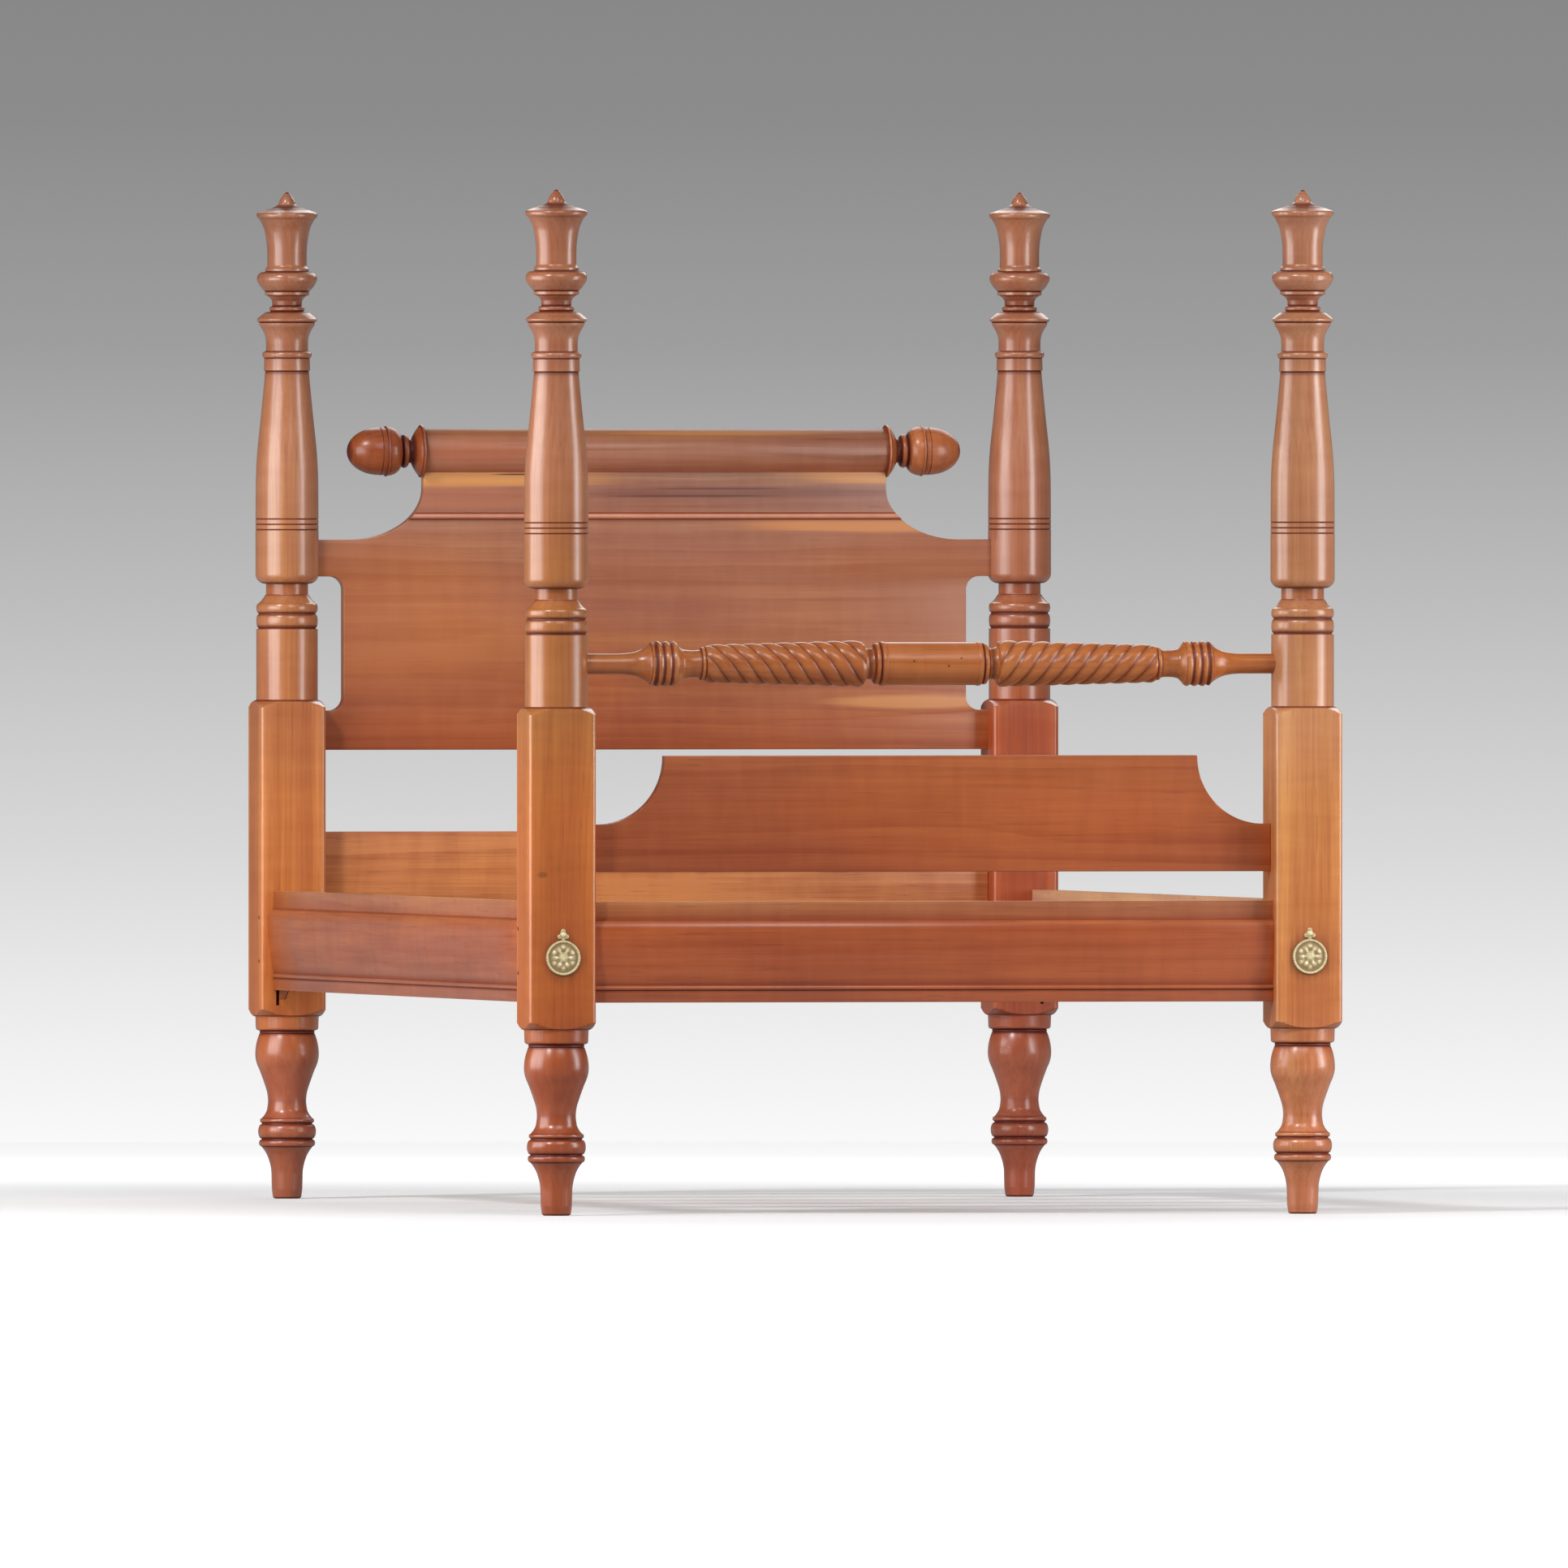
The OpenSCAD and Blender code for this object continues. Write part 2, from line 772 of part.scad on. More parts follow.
module plate_solid(side, end) {
    translate([side * (post_x + rail_offset) - plate_thickness / 2, end_y(end) - end * half_post, 0])
        mirror([0, end == HEAD ? 1 : 0, 0])
            rotate([90, 0, 90])
                linear_extrude(height = plate_thickness)
                    plate_outline();
}

// Screws that fasten a plate, driven from the rail's flat inner face
module plate_screws(side, end) {
    for (i = [0, 1])
        translate([
            side * rail_inner_x,
            end_y(end) - end * (half_post + rail_gap + hook_screw_inset[i]),
            hook_screw_rows[i]
        ])
            along_x(side) countersunk(hook_screw_length);
}

module countersunk(length) {
    cylinder(r = screw_radius, h = length);
    cylinder(r1 = screw_head_radius, r2 = screw_radius, h = screw_head_depth);
}

module ledger_screws(side) {
    pitch = (rail_length - 4 * ledger_setback) / (ledger_screw_count - 1);
    for (i = [0 : ledger_screw_count - 1])
        translate([
            side * (rail_inner_x - ledger_size),
            rail_start + 2 * ledger_setback + i * pitch,
            rail_bottom + ledger_drop + ledger_size / 2
        ])
            along_x(side) countersunk(ledger_screw_length);
}

module side_rail(side) {
    color(cherry_dark)
        difference() {
            at_rail(side)
                rotate([90, 0, 0])
                    mirror([0, 0, 1])
                        linear_extrude(height = rail_end - rail_start)
                            rail_section();
            for (end = [FOOT, HEAD]) {
                plate_solid(side, end);
                plate_screws(side, end);
            }
            ledger_screws(side);
        }
}

module side_rail_left() { side_rail(LEFT); }
module side_rail_right() { side_rail(RIGHT); }

// The ledger's ends are rounded where they meet the slats' side
module ledger(side) {
    length = rail_end - rail_start - 2 * ledger_setback;
    color(cherry_raw)
        difference() {
            translate([0, rail_start + ledger_setback, rail_bottom + ledger_drop])
                linear_extrude(height = ledger_size)
                    mirror([side == LEFT ? 1 : 0, 0])
                        translate([rail_inner_x - ledger_size, 0]) {
                            translate([0, ledger_size]) square([ledger_size, length - 2 * ledger_size]);
                            for (y = [ledger_size, length - ledger_size])
                                intersection() {
                                    translate([ledger_size, y]) circle(r = ledger_size);
                                    translate([0, y - ledger_size]) square([ledger_size, 2 * ledger_size]);
                                }
                        }
            ledger_screws(side);
        }
}

module ledger_left() { ledger(LEFT); }
module ledger_right() { ledger(RIGHT); }

module ledger_screws_left() { color(steel) ledger_screws(LEFT); }
module ledger_screws_right() { color(steel) ledger_screws(RIGHT); }

module hook_plate(side, end) {
    color(steel)
        difference() {
            plate_solid(side, end);
            plate_screws(side, end);
        }
}

module hook_plate_foot_left() { hook_plate(LEFT, FOOT); }
module hook_plate_foot_right() { hook_plate(RIGHT, FOOT); }
module hook_plate_head_left() { hook_plate(LEFT, HEAD); }
module hook_plate_head_right() { hook_plate(RIGHT, HEAD); }

module hook_screws(side) {
    color(steel)
        for (end = [FOOT, HEAD]) plate_screws(side, end);
}

module hook_screws_left() { hook_screws(LEFT); }
module hook_screws_right() { hook_screws(RIGHT); }

module hook_pins(side, end) {
    color(steel) at_post(side, end) hook_pin_bars();
}

module hook_pins_foot_left() { hook_pins(LEFT, FOOT); }
module hook_pins_foot_right() { hook_pins(RIGHT, FOOT); }
module hook_pins_head_left() { hook_pins(LEFT, HEAD); }
module hook_pins_head_right() { hook_pins(RIGHT, HEAD); }

// ---- slats ----

module slat(number) {
    y = (number - (slat_count + 1) / 2) * slat_pitch;
    color(slat_wood)
        translate([-slat_half, y - slat_width / 2, slat_bottom])
            cube([2 * slat_half, slat_width, slat_thickness]);
}

module slat_1() { slat(1); }
module slat_2() { slat(2); }
module slat_3() { slat(3); }
module slat_4() { slat(4); }
module slat_5() { slat(5); }

// ---- bolt covers ----

// Children's +Z points out of the front of a foot post, and their +Y points up
module on_cover(side) {
    translate([side * post_x, foot_y - half_post, cover_height])
        rotate([90, 0, 0])
            children();
}

module bolt_cover(side) {
    relief = [for (p = cuts_path(cover_cuts, cover_crest)) [p[1], p[0]]];
    color(brass)
        on_cover(side)
            translate([0, 0, cover_gap])
                difference() {
                    union() {
                        rotate_extrude() polygon(concat([[0, 0]], relief, [[cover_radius, 0]]));
                        translate([0, cover_drop, 0]) {
                            cylinder(r = tab_radius, h = cover_plate);
                            for (lobe = tab_lobes)
                                translate(lobe) cylinder(r = tab_lobe_radius, h = cover_plate);
                        }
                        translate([-tab_neck / 2, cover_radius - tab_neck / 2, 0])
                            cube([tab_neck, cover_drop - cover_radius, cover_plate]);
                    }
                    translate([0, cover_drop, -overshoot])
                        cylinder(r = nail_radius + nail_clearance, h = cover_plate + 2 * overshoot);
                }
}

module bolt_cover_left() { bolt_cover(LEFT); }
module bolt_cover_right() { bolt_cover(RIGHT); }

module cover_nail(side) {
    head_start = cover_gap + cover_plate + cover_gap;
    nail_cuts = [
        [LINE, nail_length + head_start, nail_radius],
        [LINE, 0, nail_head_radius],
        [LATE, nail_head_height, 0.5]
    ];
    color(brass)
        on_cover(side)
            translate([0, cover_drop, -nail_length])
                turned(nail_cuts, nail_radius);
}

module cover_nail_left() { cover_nail(LEFT); }
module cover_nail_right() { cover_nail(RIGHT); }

post_foot_left();
post_foot_right();
post_head_left();
post_head_right();
post_patch();
headboard_panel();
headboard_bead();
crest_roll();
acorn_left();
acorn_right();
head_stretcher();
footboard_panel();
foot_rail();
blanket_rail();
side_rail_left();
side_rail_right();
ledger_left();
ledger_right();
ledger_screws_left();
ledger_screws_right();
hook_plate_foot_left();
hook_plate_foot_right();
hook_plate_head_left();
hook_plate_head_right();
hook_screws_left();
hook_screws_right();
hook_pins_foot_left();
hook_pins_foot_right();
hook_pins_head_left();
hook_pins_head_right();
slat_1();
slat_2();
slat_3();
slat_4();
slat_5();
bolt_cover_left();
bolt_cover_right();
cover_nail_left();
cover_nail_right();
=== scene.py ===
import functools
import math

import bmesh
import bpy
import numpy as np
from mathutils import Matrix, Vector


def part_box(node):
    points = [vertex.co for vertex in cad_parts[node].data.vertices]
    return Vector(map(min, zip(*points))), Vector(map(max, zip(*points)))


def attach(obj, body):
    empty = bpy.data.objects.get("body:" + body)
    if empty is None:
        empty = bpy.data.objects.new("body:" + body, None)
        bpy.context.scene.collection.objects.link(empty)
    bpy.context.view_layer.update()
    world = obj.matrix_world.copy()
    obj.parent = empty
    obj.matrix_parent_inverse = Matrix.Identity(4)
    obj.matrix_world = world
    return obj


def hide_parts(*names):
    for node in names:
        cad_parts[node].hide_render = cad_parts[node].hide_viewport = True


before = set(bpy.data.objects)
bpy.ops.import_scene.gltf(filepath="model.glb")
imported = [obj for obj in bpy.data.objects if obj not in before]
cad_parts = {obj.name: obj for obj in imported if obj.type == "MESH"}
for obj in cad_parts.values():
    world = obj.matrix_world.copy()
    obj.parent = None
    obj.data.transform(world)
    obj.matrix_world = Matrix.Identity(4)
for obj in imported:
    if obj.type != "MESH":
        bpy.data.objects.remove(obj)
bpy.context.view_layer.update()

# Lengths in this script are in millimetres until a mesh is made, and in metres from there on.
MM = 0.001
LEFT, RIGHT = -1, 1
FOOT, HEAD = -1, 1
SIDES = {LEFT: "left", RIGHT: "right"}

# ---- sizes, as in the CAD source

POST_HALF = 50
POST_CORNER = 7
POST_FLAT = POST_HALF - POST_CORNER
POST_X = 559
POST_INNER = POST_X - POST_HALF
FOOT_Y = (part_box("post_foot_left")[0].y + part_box("post_foot_left")[1].y) / 2 / MM
HEAD_Y = (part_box("post_head_left")[0].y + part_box("post_head_left")[1].y) / 2 / MM
END_Y = {FOOT: FOOT_Y, HEAD: HEAD_Y}


def read_cuts(text):
    """Cuts of a turning, each written as its kind, its length, the last radius or crest, and its bow."""
    return [(kind, *map(float, sizes)) for kind, *sizes in (cut.split() for cut in text.split(","))]


foot_cuts = read_cuts("""
    early 4 21.5, line 10 22.8, line 20 23.4, swell 26 28 -1.2, swell 18 38.5 -1.2, bead 10 42,
    line 1.5 38, bead 21.5 43.3, line 2 37.5, bead 7 40.5, line 1 37, swell 15 29.6 -1.6,
    swell 8 28.6 -0.1, swell 19 31 -0.7, swell 31 42 -0.3, swell 22 47.6 1.4, swell 30 41.5 1.5,
    line 1 40, line 0.5 41.2, line 2.5 41.2, line 0.5 40, line 0.5 41, early 4 46.8, line 16.5 47.4""")
block_cuts = read_cuts("shoulder 12 69 1, line 449.5 69, shoulder 12 46 1")
scored_line = "line 1 46, line 1 47.1, line 6 47.1,"
shaft_cuts = read_cuts("""
    line 105.5 46, line 0 43, line 1.8 43, bead 20 46, line 2.2 42.5, bead 14.5 46, swell 12 33 -0.8,
    early 2.5 31.4, line 14.5 31.4, early 14 47.2, line 66 47.2,""" + 3 * scored_line + """
    line 43 46.8, swell 75 42.1 1, swell 95 32.8 -0.3, line 1 31.8, line 0.6 34.6, line 17.9 34""")
top_cuts = read_cuts("""
    line 0.5 33.2, bead 10 37, line 0.8 31.6, swell 12.2 31.4 -0.2, swell 26 41 -2.4, line 3.6 41.8,
    line 0.8 40.6, line 0.8 42.6, early 4 45, swell 9.8 33 0.6, line 1 30.5, line 1 24, bead 7 26.3,
    line 1.5 21.6, line 1 22.3, swell 6 22.6 -0.2, swell 8.5 30.5 -1.2, line 0.3 33, line 4.4 33.3,
    line 1 31.8, line 0.8 34, swell 11 42.6 0.8, swell 7 45 0.6, late 10.5 35, line 0.8 31.8,
    line 0.2 32.8, line 3.5 32.6, swell 6 29.4 -0.8, line 16.5 29.4, swell 28 32.4 -0.7,
    swell 24.5 42.2 -1.6, line 0.5 43, bead 8.5 45.5, swell 7.5 21 0.5, swell 5 12.5 -0.8, swell 13 6 1.2,
    swell 5 1 0.6""")
post_cuts = foot_cuts + block_cuts + shaft_cuts + top_cuts

rail_bottom, rail_base_depth = 312, 22
rail_cuts = read_cuts("""
    line 17 22, line 0 20.5, line 1 20.5, bead 7 24, line 1.5 20.5, swell 78 30 2.5, late 17 20,
    line 1.5 18.8, line 25 20""")
rail_top = rail_bottom + sum(c[1] for c in rail_cuts)
rail_inner_x = 568
foot_rail_y = FOOT_Y - 6
rail_offset = 24

acorn_dowel_radius, acorn_dowel_length = 8, 28
acorn_cuts = read_cuts("""
    line 28 8, line 0 38.3, bead 4 39.4, line 0.5 37, swell 12 17.6 2.2, line 5.5 17.4, line 0.5 20,
    bead 10 25, line 1 20.5, early 20.5 36.6, bead 3 37.8, line 0.8 35.6, line 6.5 35.8, line 0.8 34.8,
    line 0.8 35.6, late 48.5 1""")

blanket_z = 808
blanket_tip = 550.5
reed_start, reed_end = 101, 337
reed_fat, reed_thin, reed_depth, reeds, reed_lead = 34.5, 28, 4, 5, 125
reed_fullness = 0.6
blanket_middle_cuts = read_cuts("""
    line 68 31.5, bead 7 32.4, line 2 28.5, bead 7 30.5, line 2 24.5, swell 15 26.5 -3""")
blanket_outer_cuts = read_cuts("""
    line 1 22.5, bead 6 24.5, line 0 21, swell 27 21.7 -1.5, swell 9.5 31.2 -0.8, ogee 4 33.3,
    ogee 5.8 31, ogee 5.8 33.4, ogee 6.2 31, ogee 6.2 33.4, ogee 5 30.8, ogee 4.5 32.4, swell 4 28 -0.3,
    swell 26 16.6 -2.2, swell 20 15 -0.4""")

crest_z, crest_radius, crest_half = 1116, 33.5, 353
crest_seat = crest_z - crest_radius + 8
head_bead_z, head_bead_width, head_bead_depth, head_bead_fillet = 1019, 11, 6, 1.5
board_thickness = 22
scoop_centre, scoop_size = (465, 1061), (112.3, 77)

cover_z, cover_drop, cover_gap, cover_plate, cover_crest = 378, 34, 0.3, 1.4, 4.2
nail_length = 16

slat_count, slat_pitch = 5, 380
slat_half_length, slat_half_width, slat_bottom, slat_top, slat_corner = 565, 40, 343.3, 362.3, 1.6


# ---- curves and meshes

def cut_point(kind, t, r0, r1, bow=0):
    """Radius and share of the length at the share t of one cut."""
    turn = math.pi * t
    across, along = {
        "ogee": ((1 - math.cos(turn)) / 2, t),
        "bead": (math.sin(turn), (1 - math.cos(turn)) / 2),
        "early": (math.sin(turn / 2), 1 - math.cos(turn / 2)),
        "late": (1 - math.cos(turn / 2), math.sin(turn / 2)),
    }.get(kind, (t, t))
    return r0 + (r1 - r0) * across + 4 * bow * t * (1 - t), along


def cut_shares(kind, length):
    """Where a cut gets its rings. A straight one only needs them near its ends."""
    if kind == "line":
        near = [d for d in (0.7, 3) if d < length * 0.45]
        return [0, *(d / length for d in near), *(1 - d / length for d in reversed(near))]
    steps = {"bead": 12, "shoulder": 26}.get(kind, int(min(16, max(8, length / 4))))
    return [k / steps for k in range(steps)]


def cut_path(cuts, radius, start=0.0):
    """The cuts as a list of (radius, distance along the axis)."""
    path, r, z = [], radius, start
    for kind, length, last, *bow in cuts:
        for t in cut_shares(kind, length):
            rr, share = cut_point(kind, t, r, last, *bow)
            path.append((rr, z + length * share))
        r = r if kind == "bead" else last
        z += length
    return tuple(path + [(r, z)])


def link(name, data):
    """A new object in the scene."""
    piece = bpy.data.objects.new(name, data)
    bpy.context.scene.collection.objects.link(piece)
    return piece


def make_piece(name, points, faces):
    """An object from points in millimetres, with its faces turned outwards."""
    mesh = bpy.data.meshes.new(name)
    mesh.from_pydata([tuple(c * MM for c in p) for p in points], [], faces)
    bm = bmesh.new()
    bm.from_mesh(mesh)
    bmesh.ops.remove_doubles(bm, verts=bm.verts, dist=2e-6)
    bmesh.ops.recalc_face_normals(bm, faces=bm.faces)
    bm.to_mesh(mesh)
    bm.free()
    return link(name, mesh)


def grid_faces(count, width):
    """Faces that join count closed rings of width points each, and cap both ends."""
    edges = [(i * width + k, i * width + (k + 1) % width) for i in range(count - 1) for k in range(width)]
    return [*((a, b, b + width, a + width) for a, b in edges),
            tuple(range(width)), tuple(range((count - 1) * width, count * width))]


def ring_piece(name, rings):
    """One closed skin over a list of closed rings of points."""
    points = [p for ring in rings for p in ring]
    return make_piece(name, points, grid_faces(len(rings), len(rings[0])))


def even_angles(count):
    return [2 * math.pi * k / count for k in range(count)]


def circle(radius, count):
    return [(radius * math.cos(a), radius * math.sin(a)) for a in even_angles(count)]


def turned_piece(name, path, to_world, count):
    """A turning whose rings have count points."""
    return ring_piece(name, [[to_world(u, v, z) for u, v in circle(r, count)] for r, z in path])


def box_piece(lo, hi):
    a = [min(p) for p in zip(lo, hi)]
    b = [max(p) for p in zip(lo, hi)]
    return ring_piece("cutter", [
        [(x, a[1], a[2]), (x, b[1], a[2]), (x, b[1], b[2]), (x, a[1], b[2])] for x in (a[0], b[0])])


def rod_piece(start, end, radius):
    start, end = Vector(start), Vector(end)
    turn = (end - start).to_track_quat("Z", "Y")
    return ring_piece("cutter", [
        [tuple(at + turn @ Vector((u, v, 0))) for u, v in circle(radius, 40)] for at in (start, end)])


def bake(piece):
    """The piece's modifiers become part of its mesh."""
    bpy.context.view_layer.update()
    graph = bpy.context.evaluated_depsgraph_get()
    mesh = bpy.data.meshes.new_from_object(piece.evaluated_get(graph), depsgraph=graph)
    piece.modifiers.clear()
    piece.data = mesh
    return piece


def carve(piece, cutters):
    for cutter in cutters:
        cut = piece.modifiers.new("cut", "BOOLEAN")
        cut.operation, cut.solver, cut.object = "DIFFERENCE", "EXACT", cutter
    bake(piece)
    for cutter in cutters:
        bpy.data.objects.remove(cutter)
    return piece


def ease(piece, width, segments=3, angle=40):
    """Rounds the edges sharper than angle."""
    bevel = piece.modifiers.new("ease", "BEVEL")
    bevel.width, bevel.segments = width * MM, segments
    bevel.limit_method, bevel.angle_limit = "ANGLE", math.radians(angle)
    bevel.use_clamp_overlap = True
    return bake(piece)


def smooth(piece, angle=30):
    piece.data.shade_smooth()
    piece.data.set_sharp_from_angle(angle=math.radians(angle))
    return piece


def join(name, pieces):
    """One object of several."""
    bm = bmesh.new()
    for p in pieces:
        bm.from_mesh(p.data)
    mesh = bpy.data.meshes.new(name)
    bm.to_mesh(mesh)
    bm.free()
    for p in pieces:
        bpy.data.objects.remove(p)
    return link(name, mesh)


@functools.lru_cache
def relief(path):
    """Along a finer path: depth in a narrow groove, height on a ridge, and depth in a broad hollow."""
    points = []
    for (r0, z0), (r1, z1) in zip(path, path[1:]):
        steps = max(1, int(max(abs(z1 - z0), abs(r1 - r0)) / 0.5))
        points += [(r0 + (r1 - r0) * k / steps, z0 + (z1 - z0) * k / steps) for k in range(steps)]
    points.append(path[-1])
    beyond = 26
    low = [(0, path[0][1] - d) for d in range(beyond, 0, -1)]
    high = [(0, path[-1][1] + d) for d in range(1, beyond + 1)]
    r, z = np.array(low + points + high).T

    def spread(values, reach, pick):
        return np.array([pick(values[np.abs(z - at) <= reach]) for at in z])

    filled = spread(spread(r, 3.6, np.max), 3.6, np.min)
    shaved = spread(spread(r, 3, np.min), 3, np.max)
    broad = spread(spread(r, 12, np.max), 12, np.min)
    kinds = (r, z, spread(np.clip((filled - r) / 0.8, 0, 1), 0.7, np.max),
             np.clip((r - shaved) / 2.5, 0, 1), np.clip((broad - r) / 8, 0, 1))
    return [kind[beyond:-beyond] for kind in kinds]


def paint(piece, **marks):
    """Stores values for each point, for the material."""
    for name, values in marks.items():
        layer = piece.data.attributes.get(name) or piece.data.attributes.new(name, "FLOAT", "POINT")
        layer.data.foreach_set("value", np.asarray(values, np.float32))


def coordinates(piece):
    co = np.zeros(len(piece.data.vertices) * 3, np.float32)
    piece.data.vertices.foreach_get("co", co)
    return co.reshape(-1, 3) / MM


def relief_at(path, along, across):
    """Groove, crest and hollow of the path at points given along and across its axis."""
    r, z, *kinds = relief(path)
    nearest = np.concatenate([
        np.argmin(np.abs(part[:, :1] - z) + 0.3 * np.abs(part[:, 1:] - r), axis=1)
        for part in np.array_split(np.stack([along, across], 1), 40)])
    return [kind[nearest] for kind in kinds]


def paint_turning(piece, path, centre, axis):
    """Marks the grooves, ridges and hollows of a turning, where the material paints shade and highlights."""
    local = coordinates(piece) - np.array(centre)
    along = local @ np.array(axis, float)
    across = np.linalg.norm(local - np.outer(along, axis), axis=1)
    paint(piece, **dict(zip(("groove", "crest", "hollow"), relief_at(path, along, across))))


# ---- materials

def linear(rgb):
    """A colour from 0 to 255, as Blender wants it."""
    return tuple(((c / 255 + 0.055) / 1.055) ** 2.4 if c > 10 else c / 255 / 12.92 for c in rgb) + (1.0,)


class Shader:
    """Adds nodes to one material."""

    def __init__(self, name):
        self.material = bpy.data.materials.new(name)
        self.material.use_nodes = True
        self.nodes = self.material.node_tree.nodes
        self.links = self.material.node_tree.links
        self.nodes.clear()

    def put(self, socket, value):
        if isinstance(value, bpy.types.NodeSocket):
            self.links.new(value, socket)
        else:
            socket.default_value = value[:3] if socket.type == "VECTOR" else value

    def add(self, kind, settings=(), *values, **inputs):
        """A node with its settings, its first inputs in order, and others by name."""
        node = self.nodes.new("ShaderNode" + kind)
        for key, value in dict(settings).items():
            setattr(node, key, value)
        for socket, value in zip(node.inputs, values):
            self.put(socket, value)
        for key, value in inputs.items():
            self.put(node.inputs[key.replace("_", " ")], value)
        return node

    def math(self, operation, a, b=0.0, clamp=False):
        return self.add("Math", {"operation": operation, "use_clamp": clamp}, a, b).outputs[0]

    def plus(self, a, b, gain, middle=0.0, clamp=False):
        """a, and gain times what b is over the middle."""
        over = self.math("SUBTRACT", b, middle) if middle else b
        return self.math("ADD", a, self.math("MULTIPLY", over, gain), clamp)

    def vector(self, operation, a, b=(0, 0, 0)):
        node = self.add("VectorMath", {"operation": operation}, a, b)
        return node.outputs["Value" if operation == "LENGTH" else "Vector"]

    def mix(self, factor, a, b, strength=1.0):
        """From a to b by factor. A colour is a socket, or three numbers from 0 to 255."""
        if strength != 1:
            factor = self.math("MULTIPLY", factor, strength)
        node = self.add("Mix", {"data_type": "RGBA"}, factor)
        for socket, colour in ((node.inputs[6], a), (node.inputs[7], b)):
            self.put(socket, linear(colour) if isinstance(colour, tuple) else colour)
        return node.outputs[2]

    def tint(self, factor, colour, gain, strength=1.0):
        """The colour, multiplied by gain where factor is 1."""
        return self.mix(factor, colour, self.vector("MULTIPLY", colour, gain), strength)

    def ramp(self, value, stops):
        """Colours by value. stops are (value, colour), from 0 to 255."""
        top = stops[-1][0]
        node = self.add("ValToRGB", Fac=self.math("DIVIDE", value, top))
        elements = node.color_ramp.elements
        while len(elements) < len(stops):
            elements.new(0.5)
        for element, (at, colour) in zip(elements, stops):
            element.position, element.color = at / top, linear(colour)
        return node.outputs[0]

    def span(self, value, low, high, to_low=0.0, to_high=1.0, kind="SMOOTHSTEP"):
        node = self.add("MapRange", {"interpolation_type": kind}, value, low, high, to_low, to_high)
        return node.outputs[0]

    def noise(self, vector, scale=1.0, detail=2.0, rough=0.5, distortion=0.0):
        return self.add("TexNoise", Vector=vector, Scale=scale, Detail=detail, Roughness=rough,
                        Distortion=distortion).outputs[0]

    def place(self):
        return self.add("TexCoord").outputs["Object"]

    def attribute(self, name):
        return self.add("Attribute", {"attribute_name": name}).outputs["Fac"]

    def bump(self, height, strength, distance):
        return self.add("Bump", Height=height, Strength=strength, Distance=distance).outputs[0]

    def shader(self, kind, *values, **inputs):
        return self.add(kind, (), *values, **inputs).outputs[0]

    def surface(self, shader):
        """The material, with the shader as its surface."""
        self.add("OutputMaterial", (), shader)
        return self.material

    def finish(self, **inputs):
        return self.surface(self.shader("BsdfPrincipled", **inputs))


GRAIN_TURN = {"Z": (0, 0, 0), "X": (0, math.pi / 2, 0), "Y": (math.pi / 2, 0, 0)}


